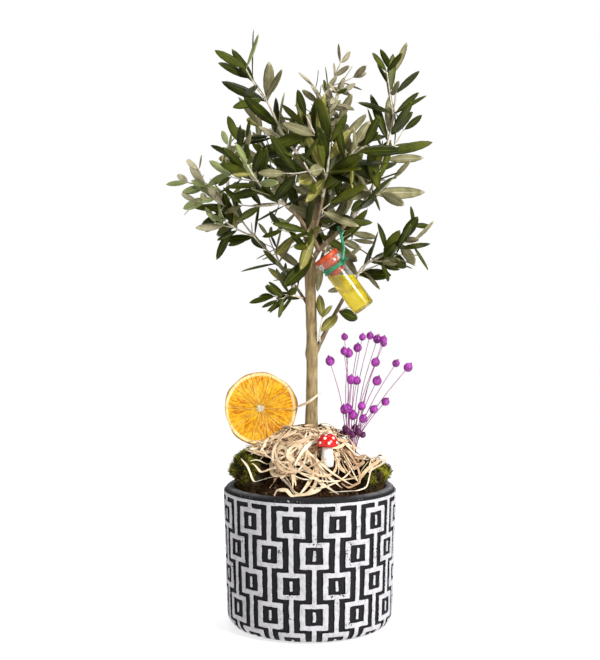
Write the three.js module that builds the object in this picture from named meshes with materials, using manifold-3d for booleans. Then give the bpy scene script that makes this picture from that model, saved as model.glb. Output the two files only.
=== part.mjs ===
// Olive bonsai in a round cement pot, dressed with moss, raffia, a dried orange slice, a toy mushroom,
// dyed flax pods and a stoppered vial of oil tied to a bough.
// Millimetres, +Z up. The origin is the middle of the pot's underside, and the front faces -Y.
import * as THREE from "three";
import { mergeVertices } from "three/addons/utils/BufferGeometryUtils.js";
import Module from "manifold-3d";

const wasm = await Module();
wasm.setup();

// Clearances and how finely round things are cut
const GAP = 0.3;
const LEAF_CLEARANCE = 0.4;
const SLIVER = 0.06;
const ROOM_SEGMENTS = 24;
const SOIL_SEGMENTS = 24;
const SMALL_SEGMENTS = 14;
const ARC_DIVISIONS = 2;
const UP = new THREE.Vector3(0, 0, 1);

// Pot: a thick cement tub, a little wider at the rim
const POT = { rimRadius: 64.5, footRadius: 62, height: 105.5, wall: 9, floor: 10, heel: 11, lip: 4 };

// The pot's raised pattern: chains of square links, where every other chain has its squares a row lower.
// Half widths are shares of a chain's pitch round the pot: of the bar that links the squares, and of the
// open cell inside a square. The sides of the squares stand between the cells of neighbouring chains.
const PATTERN = {
  chains: 24,
  turn: 2.2,
  relief: 1.15,
  barHalf: 0.132,
  cellHalf: 0.383,
  cellHeight: 12.2,
  squareHeight: 19.4,
  topRow: 87,
  rowStep: 21.8,
  rows: 4,
  low: 11.5,
  high: 99.8,
};

// Soil: fills the pot and rises to a mound with a small flat top for the trunk
const SOIL = { edgeHeight: 96, topHeight: 132, topRadius: 9, steps: 4 };

// Moss cushions round the mound, each with its middle and its reach along X, Y and Z
const MOSS = [
  { name: "moss_left", middle: [-43, -4, 111], reach: [18, 29, 22], seed: 11 },
  { name: "moss_right", middle: [45, -11, 107], reach: [19, 27, 19], seed: 12 },
  { name: "moss_back", middle: [6, 46, 106], reach: [33, 15, 16], seed: 13 },
];
const MOSS_LUMP = 0.06;
const MOSS_ROUND = 0.7;

// Raffia: a nest heaped round the trunk, and loose strands that loop over it
const NEST = { topHeight: 151, edgeThickness: 2, slope: 1.6, lump: 1.6 };
const RAFFIA = { strands: 3, width: 2.6, thickness: 1.1, steps: 7, arch: 5, seed: 21 };

// Dried orange slice, standing on edge in the moss
const SLICE = {
  radius: 27.5,
  thickness: 4.6,
  rind: 2.8,
  dip: 0.7,
  middle: [-37, 9, 161],
  lean: -8,
  turn: -6,
  segments: 22,
};

// Toy mushroom
const MUSHROOM = {
  foot: [12.5, -31, 123.3],
  stalkRadius: 4.6,
  stalkHeight: 14.5,
  capRadius: 8,
  capHeight: 9.5,
};

// Dyed flax pods: tiers of thin stems that fan out of one bundle, leaning to the right
const PODS = {
  foot: [32, 4, 123.8],
  bundle: { footRadius: 3, topRadius: 6.5, height: 17, sides: 8 },
  podRadius: 2.9,
  podSides: 4,
  stemRadius: 0.45,
  stemSteps: 2,
  seed: 31,
  tiers: [
    { count: 8, lean: [-3, 18], length: [62, 82], layer: 4 },
    { count: 8, lean: [-14, 36], length: [42, 68], layer: 0 },
    { count: 7, lean: [-11, 40], length: [14, 38], layer: -4 },
  ],
};

// Oil vial: a glass tube with a flared mouth, hung at a slant from the right bough by a flat tie
const VIAL = {
  topMiddle: [11, -14.5, 276.5],
  slant: 36.5,
  length: 48.5,
  radius: 8.4,
  neckRadius: 7.9,
  lipRadius: 9.3,
  wall: 1.1,
  base: 1.6,
  stopperDisc: 3.7,
  lipDepth: 4.6,
  neckDepth: 5,
  plugLength: 12.5,
  oilLevel: 262,
};
const TIE = {
  width: 3,
  thickness: 0.7,
  riseSide: -32,
  belly: [2.6, -1.6, 0],
  boughShare: 0.74,
  loopRadius: 2.8,
  loopThickness: 0.55,
  steps: 5,
};

// Trunk: from a flat cut on the soil, past an old pruning knuckle, to its fork
const TRUNK = {
  points: [[1, 0, SOIL.topHeight + GAP], [1.5, 0, 206], [0, 0, 271], [1, 2, 303]],
  sides: 8,
  steps: 22,
  baseRadius: 4.4,
  kneeRadius: 3.9,
  leaderRadius: 2.3,
  tipRadius: 1.7,
  knee: { share: 0.81, swell: 1.4, width: 0.035 },
  flare: { swell: 2.6, fade: 14 },
};

// Boughs: each runs from its parent through a few points, as one tapering limb
const BOUGH_SIDES = 6;
const BOUGH_STEPS = 6;
const BOUGHS = [
  {
    name: "bough_right", parent: "trunk", radii: [2.0, 1.5],
    points: [[0, 0, 269], [7, -5, 281], [16, -8, 289], [31, -12, 304]],
  },
  {
    name: "bough_left", parent: "bough_right", radii: [1.7, 1.3],
    points: [[6.5, -4.5, 280], [2, -10, 289], [-7, -15, 302], [-15, -18, 311]],
  },
  {
    name: "bough_low_left", parent: "trunk", radii: [1.4, 1.0],
    points: [[1, 0, 236], [-5, 2, 245], [-11, 3, 254]],
  },
  {
    name: "bough_low_right", parent: "trunk", radii: [1.9, 1.1],
    points: [[1.5, 0, 199], [9, 3, 214], [24, 9, 242], [35, 11, 260]],
  },
  {
    name: "bough_top_left", parent: "trunk", radii: [1.7, 1.3],
    points: [[1, 2, 303.3], [0, 0, 326], [-9, -2, 351]],
  },
  {
    name: "bough_centre", parent: "trunk", radii: [1.5, 1.2],
    points: [[1, 2, 293], [5, 8, 318], [7, 10, 352]],
  },
  {
    name: "bough_front", parent: "trunk", radii: [1.5, 1.2],
    points: [[0, 0, 281], [5, -16, 300], [9, -28, 318]],
  },
  {
    name: "bough_back_left", parent: "trunk", radii: [1.6, 1.2],
    points: [[0, 1, 276], [-6, 16, 300], [-9, 29, 318]],
  },
  {
    name: "bough_back_right", parent: "trunk", radii: [1.6, 1.2],
    points: [[0, 1, 283], [9, 17, 302], [15, 32, 322]],
  },
  {
    name: "bough_low_back", parent: "trunk", radii: [1.6, 1.1],
    points: [[1, 0, 250], [6, 13, 265], [11, 28, 280]],
  },
];

// Foliage: one leafy shoot on each bough, run on from its tip or from a share of its length.
// Each has its leaf length, the step between leaf pairs and the size of the leaves at the tip.
const FOLIAGE = [
  {
    name: "foliage_right", bough: "bough_right",
    leaf: 40, step: 14, tip: 0.55, twigs: 3, turn: 20,
    points: [[44, -14, 323], [57, -16, 360], [62, -14, 391], [61, -13, 408]],
  },
  {
    name: "foliage_left", bough: "bough_left",
    leaf: 30, step: 12, tip: 0.75, twigs: 3, turn: 50,
    points: [[-26, -20, 318], [-42, -25, 332], [-51, -27, 346]],
  },
  {
    name: "foliage_low_left", bough: "bough_low_left",
    leaf: 31, step: 14, tip: 0.65, twigs: 3, turn: 10,
    points: [[-24, 5, 271], [-47, 6, 297], [-62, 5, 318], [-76, 3, 327], [-90, 0, 330]],
  },
  {
    name: "foliage_low_right", bough: "bough_low_right",
    leaf: 28, step: 12, tip: 0.85, twigs: 2, turn: 70,
    points: [[40, 11, 268], [54, 6, 276], [65, 2, 281]],
  },
  {
    name: "foliage_top_left", bough: "bough_top_left",
    leaf: 37, step: 18, tip: 1, twigs: 2, turn: 35,
    points: [[-20, -4, 365], [-31, -6, 388], [-42, -8, 405]],
  },
  {
    name: "foliage_centre", bough: "bough_centre",
    leaf: 25, step: 11, tip: 0.75, twigs: 3, turn: 5,
    points: [[8, 10, 374], [6, 8, 390], [4, 6, 400]],
  },
  {
    name: "foliage_front", bough: "bough_front",
    leaf: 37, step: 13, tip: 0.8, twigs: 3, turn: 25,
    points: [[12, -38, 336], [14, -45, 356]],
  },
  {
    name: "foliage_back_left", bough: "bough_back_left",
    leaf: 37, step: 13, tip: 0.8, twigs: 3, turn: 60,
    points: [[-13, 44, 340], [-16, 54, 366]],
  },
  {
    name: "foliage_back_right", bough: "bough_back_right",
    leaf: 37, step: 13, tip: 0.8, twigs: 3, turn: 15,
    points: [[22, 48, 342], [27, 58, 368]],
  },
  {
    name: "foliage_sprout", bough: "bough_low_right", at: 0.2,
    leaf: 19, step: 9, tip: 0.9, twigs: 0, turn: 80,
    points: [[7, -5, 216], [9, -8, 230]],
  },
  {
    name: "foliage_low_front", bough: "bough_low_left", at: 0.45,
    leaf: 24, step: 10, tip: 0.8, twigs: 0, turn: 15,
    points: [[-14, -5, 247], [-26, -8, 246]],
  },
  {
    name: "foliage_low_back", bough: "bough_low_back",
    leaf: 35, step: 13, tip: 0.8, twigs: 2, turn: 40,
    points: [[16, 44, 292], [22, 60, 302]],
  },
];

// Leaf and shoot rule: opposite pairs, each pair a quarter turn from the last
const LEAF = {
  widthShare: 0.3,
  thickness: 0.8,
  keelShare: 0.55,
  sunk: 0.3,
  curl: 0.1,
  outline: [[0, 0], [1, 0.38], [0.84, 0.76], [0, 1]],
};
const SHOOT = {
  firstShare: 0.06,
  spreadFoot: 62,
  spreadTip: 34,
  tipRadius: 0.5,
  sides: 3,
  stepLength: 16,
  seed: 41,
};
const TWIG = { length: 34, radius: 0.8, spread: 48, leafShare: 0.82, fromShare: 0.12, toShare: 0.72 };

// Colours, roughness and sheen of each finish
const FINISH = {
  cement: { color: 0x3a3b40, roughness: 0.85 },
  soil: { color: 0x2a1d12, roughness: 1 },
  moss: { color: 0x46501c, roughness: 1 },
  raffia: { color: 0xe0c9a0, roughness: 0.75 },
  orange: { color: 0xe08a1a, roughness: 0.6 },
  mushroomRed: { color: 0xd41f12, roughness: 0.25 },
  mushroomWhite: { color: 0xf0ece2, roughness: 0.4 },
  pods: { color: 0xa02a96, roughness: 0.55 },
  glass: { color: 0xe6eee6, roughness: 0.03 },
  oil: { color: 0xf2c806, roughness: 0.1 },
  stopper: { color: 0xc24a28, roughness: 0.45 },
  tie: { color: 0x1f7a4a, roughness: 0.5 },
  bark: { color: 0x8f7d5c, roughness: 0.85 },
  leaf: { color: 0x3c4f2a, roughness: 0.5 },
};

// A repeatable stream of numbers from 0 to 1
function randomStream(seed) {
  let state = seed >>> 0;
  return () => {
    state = (state + 0x6d2b79f5) >>> 0;
    let mixed = Math.imul(state ^ (state >>> 15), state | 1);
    mixed ^= mixed + Math.imul(mixed ^ (mixed >>> 7), mixed | 61);
    return ((mixed ^ (mixed >>> 14)) >>> 0) / 4294967296;
  };
}

const radians = THREE.MathUtils.degToRad;
const between = (low, high, share) => low + (high - low) * share;
const vector = (point) => new THREE.Vector3(...point);

// A closed geometry as a solid that can be joined and cut
function solidOf(geometry) {
  const bare = geometry.clone();
  bare.deleteAttribute("normal");
  bare.deleteAttribute("uv");
  const merged = mergeVertices(bare, 1e-4);
  const corners = merged.index.array;
  const triVerts = [];
  for (let i = 0; i < corners.length; i += 3) {
    const [a, b, c] = [corners[i], corners[i + 1], corners[i + 2]];
    if (a !== b && b !== c && a !== c) triVerts.push(a, b, c);
  }
  const vertProperties = new Float32Array(merged.attributes.position.array);
  const mesh = new wasm.Mesh({ numProp: 3, vertProperties, triVerts: new Uint32Array(triVerts) });
  return new wasm.Manifold(mesh);
}

// The largest closed body of a solid, without loose scraps, sealed hollows or slivers, as a geometry
function geometryOf(solid) {
  const bodies = solid.decompose().sort((a, b) => b.volume() - a.volume());
  const { vertProperties, triVerts } = bodies[0].simplify(SLIVER).getMesh();
  const geometry = new THREE.BufferGeometry();
  geometry.setAttribute("position", new THREE.BufferAttribute(new Float32Array(vertProperties), 3));
  geometry.setIndex(new THREE.BufferAttribute(new Uint32Array(triVerts), 1));
  geometry.computeVertexNormals();
  return geometry;
}

const join = (solids) => solids.reduce((whole, solid) => whole.add(solid));
const carve = (solid, cutters) => cutters.reduce((left, cutter) => left.subtract(cutter), solid);

// Moves every vertex of a geometry by a function that changes it in place
function reshape(geometry, change) {
  const positions = geometry.attributes.position;
  const vertex = new THREE.Vector3();
  for (let i = 0; i < positions.count; i += 1) {
    vertex.fromBufferAttribute(positions, i);
    change(vertex);
    positions.setXYZ(i, vertex.x, vertex.y, vertex.z);
  }
  return geometry;
}

// A turned shape about Z from a profile of (radius, height) points that runs up the outside
function turned(profile, segments) {
  return new THREE.LatheGeometry(profile, segments).rotateX(Math.PI / 2);
}

// A tapering limb: a closed cylinder bent along a curve, with its radius given along the way
function limb(curve, radiusAt, sides, steps) {
  const frames = curve.computeFrenetFrames(steps, false);
  return reshape(new THREE.CylinderGeometry(1, 1, 1, sides, steps), (vertex) => {
    const share = vertex.y + 0.5;
    const step = Math.round(share * steps);
    const radius = radiusAt(share);
    const across = frames.binormals[step].clone().multiplyScalar(vertex.x * radius);
    across.addScaledVector(frames.normals[step], vertex.z * radius);
    vertex.copy(curve.getPointAt(share)).add(across);
  });
}

// Pot

const innerRadiusAt = (height) =>
  between(POT.footRadius, POT.rimRadius, height / POT.height) - POT.wall;

// The outside of the pot as a full block
function potBlock(grow) {
  const rim = POT.rimRadius + grow;
  const foot = POT.footRadius + grow;
  const top = POT.height + grow;
  const outline = new THREE.Path();
  outline.moveTo(0, -grow);
  outline.lineTo(foot - POT.heel, -grow);
  outline.absarc(foot - POT.heel, POT.heel - grow, POT.heel, -Math.PI / 2, 0, false);
  outline.lineTo(rim, top - POT.lip);
  outline.quadraticCurveTo(rim, top, rim - POT.lip, top);
  outline.lineTo(0, top);
  return turned(outline.getPoints(ARC_DIVISIONS), 2 * PATTERN.chains);
}

// The room inside the pot, up to its rounded inner edge
function potRoom(grow) {
  const wallTop = innerRadiusAt(POT.height) - grow;
  const top = POT.height + grow;
  const outline = new THREE.Path();
  outline.moveTo(0, POT.floor + grow);
  outline.lineTo(innerRadiusAt(POT.floor) - grow, POT.floor + grow);
  outline.lineTo(wallTop, top - POT.lip);
  outline.lineTo(wallTop + POT.lip / 2, top - POT.lip / 4);
  outline.lineTo(wallTop + POT.lip, top + GAP);
  outline.lineTo(0, top + GAP);
  return turned(outline.getPoints(), ROOM_SEGMENTS);
}

const chainPitch = radians(360 / PATTERN.chains);
const chainAngle = (share) => radians(PATTERN.turn) + share * chainPitch;

// Puts the columns of the wall on the edges of the cells, two to a chain
function onChains(vertex) {
  const radius = Math.hypot(vertex.x, vertex.y);
  const column = Math.round(Math.atan2(vertex.y, vertex.x) / (chainPitch / 2));
  const isLeft = column % 2 === 0;
  const angle = chainAngle(Math.floor(column / 2) + (isLeft ? -PATTERN.cellHalf : PATTERN.cellHalf));
  vertex.x = radius * Math.cos(angle);
  vertex.y = radius * Math.sin(angle);
}

// The pot before its pattern is cut, or grown by a clearance
function plainPot(grow = 0) {
  return carve(solidOf(reshape(potBlock(grow), onChains)), [solidOf(potRoom(grow))]);
}

// A sunk field of the pattern, between two shares of a chain's pitch and two heights, as a cutter
function fieldGeometry(chain, [left, right], [low, high]) {
  return reshape(new THREE.BoxGeometry(1, 1, 1), (vertex) => {
    const share = between(left, right, vertex.x + 0.5);
    const height = between(low, high, vertex.z + 0.5);
    const climb = (height - POT.heel) / (POT.height - POT.lip - POT.heel);
    const flat = Math.cos(PATTERN.cellHalf * chainPitch) / Math.cos(share * chainPitch);
    const face = between(POT.footRadius, POT.rimRadius, climb) * flat;
    const radius = face + between(1, -PATTERN.relief, vertex.y + 0.5);
    const angle = chainAngle(chain + share);
    vertex.set(radius * Math.cos(angle), radius * Math.sin(angle), height);
  });
}

// The fields that leave the squares and their link bars raised, in one row of one chain
function rowFields(chain, row) {
  const { barHalf, cellHalf, cellHeight, squareHeight, rowStep } = PATTERN;
  const middle = PATTERN.topRow - row * rowStep;
  if ((chain + row) % 2 === 1) {
    const heights = [middle - cellHeight / 2, middle + cellHeight / 2];
    return [fieldGeometry(chain, [-cellHalf, cellHalf], heights)];
  }
  const reach = rowStep - squareHeight / 2;
  const heights = [Math.max(PATTERN.low, middle - reach), Math.min(PATTERN.high, middle + reach)];
  return [[-cellHalf, -barHalf], [barHalf, cellHalf]].map((edges) => fieldGeometry(chain, edges, heights));
}

function potSolid() {
  const fields = [];
  for (let chain = 0; chain < PATTERN.chains; chain += 1) {
    for (let row = 0; row < PATTERN.rows; row += 1) fields.push(...rowFields(chain, row).map(solidOf));
  }
  return carve(plainPot(), [join(fields)]);
}

// Soil, and what is heaped on it

function soilHeightAt(radius) {
  const share = Math.max(0, radius - SOIL.topRadius) / (innerRadiusAt(SOIL.edgeHeight) - SOIL.topRadius);
  return between(SOIL.topHeight, SOIL.edgeHeight, share ** 1.6);
}

// The rings of the mound, from the pot's wall to the flat top
const soilEdge = innerRadiusAt(SOIL.edgeHeight) - GAP;
const soilRings = [];
for (let i = 0; i <= SOIL.steps; i += 1) soilRings.push(between(soilEdge, SOIL.topRadius, i / SOIL.steps));

function soilGeometry(grow = 0) {
  const bottom = POT.floor + GAP - grow;
  const widen = 1 + grow / soilEdge;
  const profile = [
    new THREE.Vector2(0, bottom),
    new THREE.Vector2((innerRadiusAt(POT.floor) - GAP) * widen, bottom),
    ...soilRings.map((radius) => new THREE.Vector2(radius * widen, soilHeightAt(radius) + grow)),
    new THREE.Vector2(0, SOIL.topHeight + grow),
  ];
  return turned(profile, SOIL_SEGMENTS);
}

// A moss cushion: a flat-topped lump with an uneven skin
function mossGeometry({ middle, reach, seed }, grow = 0) {
  const random = randomStream(seed);
  const phases = [random(), random(), random()].map((share) => share * 2 * Math.PI);
  const lump = new THREE.SphereGeometry(1, 11, 6).rotateX(Math.PI / 2);
  return reshape(lump, (vertex) => {
    const flat = Math.hypot(vertex.x, vertex.y);
    const around = Math.atan2(vertex.y, vertex.x);
    const ripple = Math.sin(5 * around + phases[0]) + Math.sin(3 * around + phases[1]);
    const swell = 1 + MOSS_LUMP * flat * ripple;
    const height = Math.sign(vertex.z) * Math.abs(vertex.z) ** MOSS_ROUND;
    vertex.set(
      middle[0] + vertex.x * swell * (reach[0] + grow),
      middle[1] + vertex.y * swell * (reach[1] + grow),
      middle[2] + height * (reach[2] + grow),
    );
  });
}

// The nest lies on the inner rings of the mound
const nestRings = soilRings.slice(1);
const nestOuter = nestRings[0];
const nestInner = nestRings[nestRings.length - 1];

function nestHeightAt(radius) {
  const share = THREE.MathUtils.clamp((radius - nestInner) / (nestOuter - nestInner), 0, 1);
  const edge = soilHeightAt(nestOuter) + GAP + NEST.edgeThickness;
  return between(NEST.topHeight, edge, share ** NEST.slope);
}

function nestGeometry() {
  const over = nestRings.map((radius) => new THREE.Vector2(radius, nestHeightAt(radius)));
  const under = nestRings.map((radius) => new THREE.Vector2(radius, soilHeightAt(radius) + 2 * GAP));
  under.reverse();
  return reshape(turned([...over, ...under, over[0].clone()], SOIL_SEGMENTS), (vertex) => {
    const radius = Math.hypot(vertex.x, vertex.y);
    const isUnder = vertex.z < soilHeightAt(radius) + 3 * GAP;
    const around = Math.atan2(vertex.y, vertex.x);
    vertex.z += isUnder ? 0 : NEST.lump * Math.sin(5 * around + radius / 5);
  });
}

// One raffia strand: a flat ribbon that arches over part of the nest, with both ends sunk in it
function strandGeometry(random) {
  const start = random() * 2 * Math.PI;
  const span = between(0.7, 1.6, random());
  const from = between(nestInner + 5, nestOuter - 8, random());
  const to = between(nestInner + 5, nestOuter - 8, random());
  const points = [];
  for (let i = 0; i <= RAFFIA.steps; i += 1) {
    const share = i / RAFFIA.steps;
    const radius = between(from, to, share);
    const around = start + span * share;
    const lift = RAFFIA.arch * Math.sin(Math.PI * share) - RAFFIA.thickness;
    const height = nestHeightAt(radius) + lift;
    points.push(new THREE.Vector3(radius * Math.cos(around), radius * Math.sin(around), height));
  }
  const ribbon = new THREE.Shape();
  const [w, t] = [RAFFIA.width / 2, RAFFIA.thickness / 2];
  ribbon.moveTo(-t, -w).lineTo(t, -w).lineTo(t, w).lineTo(-t, w).closePath();
  const extrudePath = new THREE.CatmullRomCurve3(points);
  return new THREE.ExtrudeGeometry(ribbon, { steps: RAFFIA.steps, extrudePath });
}

function nestSolid(cutters) {
  const random = randomStream(RAFFIA.seed);
  const pieces = [solidOf(nestGeometry())];
  for (let i = 0; i < RAFFIA.strands; i += 1) pieces.push(solidOf(strandGeometry(random)));
  return carve(join(pieces), cutters);
}

// Orange slice, with the rind standing a little proud of the dried flesh on both faces
function sliceGeometry(grow = 0) {
  const half = SLICE.thickness / 2 + grow;
  const rim = SLICE.radius + grow;
  const flesh = SLICE.radius - SLICE.rind;
  const profile = [
    [0, SLICE.dip - half],
    [flesh, SLICE.dip - half],
    [flesh + 0.8, -half],
    [rim - 0.6, -half],
    [rim, 0.6 - half],
    [rim, half - 0.6],
    [rim - 0.6, half],
    [flesh + 0.8, half],
    [flesh, half - SLICE.dip],
    [0, half - SLICE.dip],
  ].map(([radius, height]) => new THREE.Vector2(radius, height));
  const upright = new THREE.Matrix4()
    .makeTranslation(...SLICE.middle)
    .multiply(new THREE.Matrix4().makeRotationZ(radians(SLICE.turn)))
    .multiply(new THREE.Matrix4().makeRotationX(radians(90 + SLICE.lean)));
  return turned(profile, SLICE.segments).applyMatrix4(upright);
}

// Mushroom

function stalkGeometry(grow = 0) {
  const { stalkRadius: radius, stalkHeight: height } = MUSHROOM;
  const profile = [
    [0, -grow],
    [radius + grow, -grow],
    [radius + grow, height * 0.4],
    [radius * 0.82 + grow, height - 0.6],
    [radius * 0.7 + grow, height + grow],
    [0, height + grow],
  ].map(([r, z]) => new THREE.Vector2(r, z));
  return turned(profile, SMALL_SEGMENTS).translate(...MUSHROOM.foot);
}

function capGeometry(grow = 0) {
  const { stalkHeight } = MUSHROOM;
  const radius = MUSHROOM.capRadius + grow;
  const height = MUSHROOM.capHeight + grow;
  const outline = new THREE.Path();
  outline.moveTo(0, -grow);
  outline.lineTo(radius * 0.8, -grow);
  outline.quadraticCurveTo(radius, -grow, radius, height * 0.25);
  outline.quadraticCurveTo(radius * 0.95, height, 0, height);
  const [x, y, z] = MUSHROOM.foot;
  return turned(outline.getPoints(ARC_DIVISIONS + 1), SMALL_SEGMENTS).translate(x, y, z + stalkHeight + GAP);
}

// Flax pods on their stems, fused into the bundle that they fan out of

function bundleGeometry(grow = 0) {
  const { footRadius, topRadius, height, sides } = PODS.bundle;
  const cone = new THREE.CylinderGeometry(topRadius + grow, footRadius + grow, height + 2 * grow, sides);
  return cone.rotateX(Math.PI / 2).translate(PODS.foot[0], PODS.foot[1], PODS.foot[2] + height / 2);
}

// A round seed pod with a pointed tip
function podGeometry(size) {
  const profile = [[0, -1], [0.85, -0.5], [0.85, 0.4], [0, 1.35]];
  const points = profile.map(([radius, height]) => new THREE.Vector2(radius * size, height * size));
  return turned(points, PODS.podSides);
}

// A stem leaves the bundle's top at its own place, and leans further the further out it stands
function podStem(tier, share, random) {
  const lean = radians(between(...tier.lean, share) + between(-3, 3, random()));
  const away = (tier.layer + between(-2, 2, random())) * 0.05;
  const length = between(...tier.length, random());
  const spread = PODS.bundle.topRadius * 0.8;
  const foot = vector(PODS.foot);
  foot.x += spread * between(-1, 1, share);
  foot.y += tier.layer;
  foot.z += PODS.bundle.height - 1.2;
  const direction = new THREE.Vector3(Math.sin(lean), away, Math.cos(lean)).normalize();
  const tip = foot.clone().addScaledVector(direction, length);
  const middle = foot.clone().lerp(tip, 0.5);
  middle.x -= length * 0.06 * Math.sign(lean);
  middle.z += length * 0.03;
  return new THREE.QuadraticBezierCurve3(foot, middle, tip);
}

function podsSolid() {
  const random = randomStream(PODS.seed);
  const pieces = [solidOf(bundleGeometry())];
  for (const tier of PODS.tiers) {
    for (let i = 0; i < tier.count; i += 1) {
      const stem = podStem(tier, (i + 0.5) / tier.count, random);
      const size = PODS.podRadius * between(0.85, 1.15, random());
      const turn = new THREE.Quaternion().setFromUnitVectors(UP, stem.getTangentAt(1));
      const pod = podGeometry(size).applyQuaternion(turn).translate(...stem.getPointAt(1).toArray());
      pieces.push(solidOf(limb(stem, () => PODS.stemRadius, 3, PODS.stemSteps)), solidOf(pod));
    }
  }
  return join(pieces);
}

// Oil vial, drawn with its mouth up at the origin and its foot below, then hung at its slant

const vialPlace = new THREE.Matrix4()
  .makeTranslation(...VIAL.topMiddle)
  .multiply(new THREE.Matrix4().makeRotationY(radians(-VIAL.slant)));
const vialMouth = -VIAL.stopperDisc - GAP;
const vialNeckTop = vialMouth - VIAL.lipDepth;
const vialShoulder = vialNeckTop - VIAL.neckDepth;
const boreRadius = VIAL.neckRadius - VIAL.wall;

function hung(points) {
  const profile = points.map(([radius, height]) => new THREE.Vector2(radius, height));
  return turned(profile, SMALL_SEGMENTS).applyMatrix4(vialPlace);
}

function glassGeometry() {
  const { radius, neckRadius, lipRadius, wall, base, length } = VIAL;
  return hung([
    [0, -length],
    [radius - 1.2, -length],
    [radius, -length + 1.2],
    [radius, vialShoulder - 1.5],
    [neckRadius, vialShoulder],
    [neckRadius, vialNeckTop],
    [lipRadius, vialNeckTop + 0.8],
    [lipRadius, vialMouth - 0.8],
    [lipRadius - 0.8, vialMouth],
    [boreRadius, vialMouth],
    [boreRadius, vialShoulder],
    [radius - wall, vialShoulder - 1.5],
    [radius - wall, -length + base],
    [0, -length + base],
  ]);
}

function stopperGeometry() {
  const plug = boreRadius - GAP;
  const rim = VIAL.lipRadius + 0.2;
  return hung([
    [0, vialMouth - VIAL.plugLength],
    [plug - 0.5, vialMouth - VIAL.plugLength],
    [plug, vialMouth - VIAL.plugLength + 0.5],
    [plug, -VIAL.stopperDisc],
    [rim - 0.5, -VIAL.stopperDisc],
    [rim, 0.5 - VIAL.stopperDisc],
    [rim, -0.5],
    [rim - 0.5, 0],
    [0, 0],
  ]);
}

// The oil fills the tube up to a level that stays flat while the vial slants
function oilSolid() {
  const { radius, wall, base, length, oilLevel } = VIAL;
  const under = vialMouth - VIAL.plugLength - GAP;
  const fill = hung([
    [0, -length + base + GAP],
    [radius - wall - GAP, -length + base + GAP],
    [radius - wall - GAP, vialShoulder - 1.5 - GAP],
    [boreRadius - GAP, vialShoulder - GAP],
    [boreRadius - GAP, under],
    [0, under],
  ]);
  const above = new THREE.BoxGeometry(4 * length, 4 * length, 2 * length);
  above.translate(VIAL.topMiddle[0], VIAL.topMiddle[1], oilLevel + length);
  return carve(solidOf(fill), [solidOf(above)]);
}

// The flat tie: a band round the vial's neck, a strip up to the bough and a loop round it
function tieSolid(bough) {
  const inner = VIAL.neckRadius + GAP;
  const outer = inner + TIE.thickness;
  const bandTop = (vialNeckTop + vialShoulder + TIE.width) / 2;
  const band = hung([
    [inner, bandTop - TIE.width],
    [outer, bandTop - TIE.width],
    [outer, bandTop],
    [inner, bandTop],
    [inner, bandTop - TIE.width],
  ]);
  const hold = bough.getPointAt(TIE.boughShare);
  const along = bough.getTangentAt(TIE.boughShare);
  const loop = new THREE.TorusGeometry(TIE.loopRadius, TIE.loopThickness, 4, 10);
  loop.applyQuaternion(new THREE.Quaternion().setFromUnitVectors(UP, along)).translate(...hold.toArray());
  const side = radians(TIE.riseSide);
  const low = new THREE.Vector3(outer * Math.cos(side), outer * Math.sin(side), bandTop - TIE.width / 2);
  low.applyMatrix4(vialPlace);
  const front = new THREE.Vector3(0, -1, 0).addScaledVector(along, along.y).normalize();
  const high = hold.clone().addScaledVector(front, TIE.loopRadius);
  const belly = low.clone().lerp(high, 0.4).add(vector(TIE.belly));
  const rise = new THREE.QuadraticBezierCurve3(low, belly, high);
  const riser = reshape(new THREE.BoxGeometry(TIE.width, TIE.thickness, 1, 1, 1, TIE.steps), (vertex) => {
    const point = rise.getPointAt(vertex.z + 0.5);
    vertex.set(point.x + vertex.x, point.y + vertex.y, point.z);
  });
  return join([solidOf(band), solidOf(loop), solidOf(riser)]);
}

// Trunk and boughs

function trunkRadiusAt(share) {
  const { knee, flare } = TRUNK;
  const shaft = share < knee.share
    ? between(TRUNK.baseRadius, TRUNK.kneeRadius, share / knee.share)
    : between(TRUNK.leaderRadius, TRUNK.tipRadius, (share - knee.share) / (1 - knee.share));
  const knuckle = knee.swell * Math.exp(-(((share - knee.share) / knee.width) ** 2));
  return shaft + knuckle + flare.swell * Math.exp(-share * flare.fade);
}

const curves = { trunk: new THREE.CatmullRomCurve3(TRUNK.points.map(vector)) };
for (const { name, points } of BOUGHS) curves[name] = new THREE.CatmullRomCurve3(points.map(vector));

function trunkGeometry(grow = 0) {
  return limb(curves.trunk, (share) => trunkRadiusAt(share) + grow, TRUNK.sides, TRUNK.steps);
}

function boughGeometry({ name, radii }, grow = 0) {
  return limb(curves[name], (share) => between(...radii, share) + grow, BOUGH_SIDES, BOUGH_STEPS);
}

// Limbs in order, each cut clear of those before it, which it grows out of or passes
const limbs = { trunk: solidOf(trunkGeometry()) };
const grownLimbs = [solidOf(trunkGeometry(GAP))];
for (const bough of BOUGHS) {
  limbs[bough.name] = carve(solidOf(boughGeometry(bough)), grownLimbs);
  grownLimbs.push(solidOf(boughGeometry(bough, GAP)));
}

// Foliage

// A leaf that lies along +Y from its root: two edges level with each other, and under them one point of keel
function leafGeometry(length, width, grow = 0) {
  const profile = LEAF.outline.map(([half, along]) => new THREE.Vector2(half, along));
  return reshape(new THREE.LatheGeometry(profile, 3, Math.PI), (vertex) => {
    const half = Math.hypot(vertex.x, vertex.z);
    const isEnd = half < 1e-6;
    const isKeel = !isEnd && Math.abs(vertex.x) < 1e-6;
    const isEdge = !isEnd && !isKeel;
    const share = isKeel ? LEAF.keelShare : vertex.y;
    const depth = (isKeel ? -LEAF.thickness - grow : 0) + (isEdge ? grow : 0);
    vertex.set(
      isEdge ? Math.sign(vertex.x) * ((half * width) / 2 + grow) : 0,
      share * (length + grow) - LEAF.sunk,
      depth - LEAF.curl * length * share * share,
    );
  });
}

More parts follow.
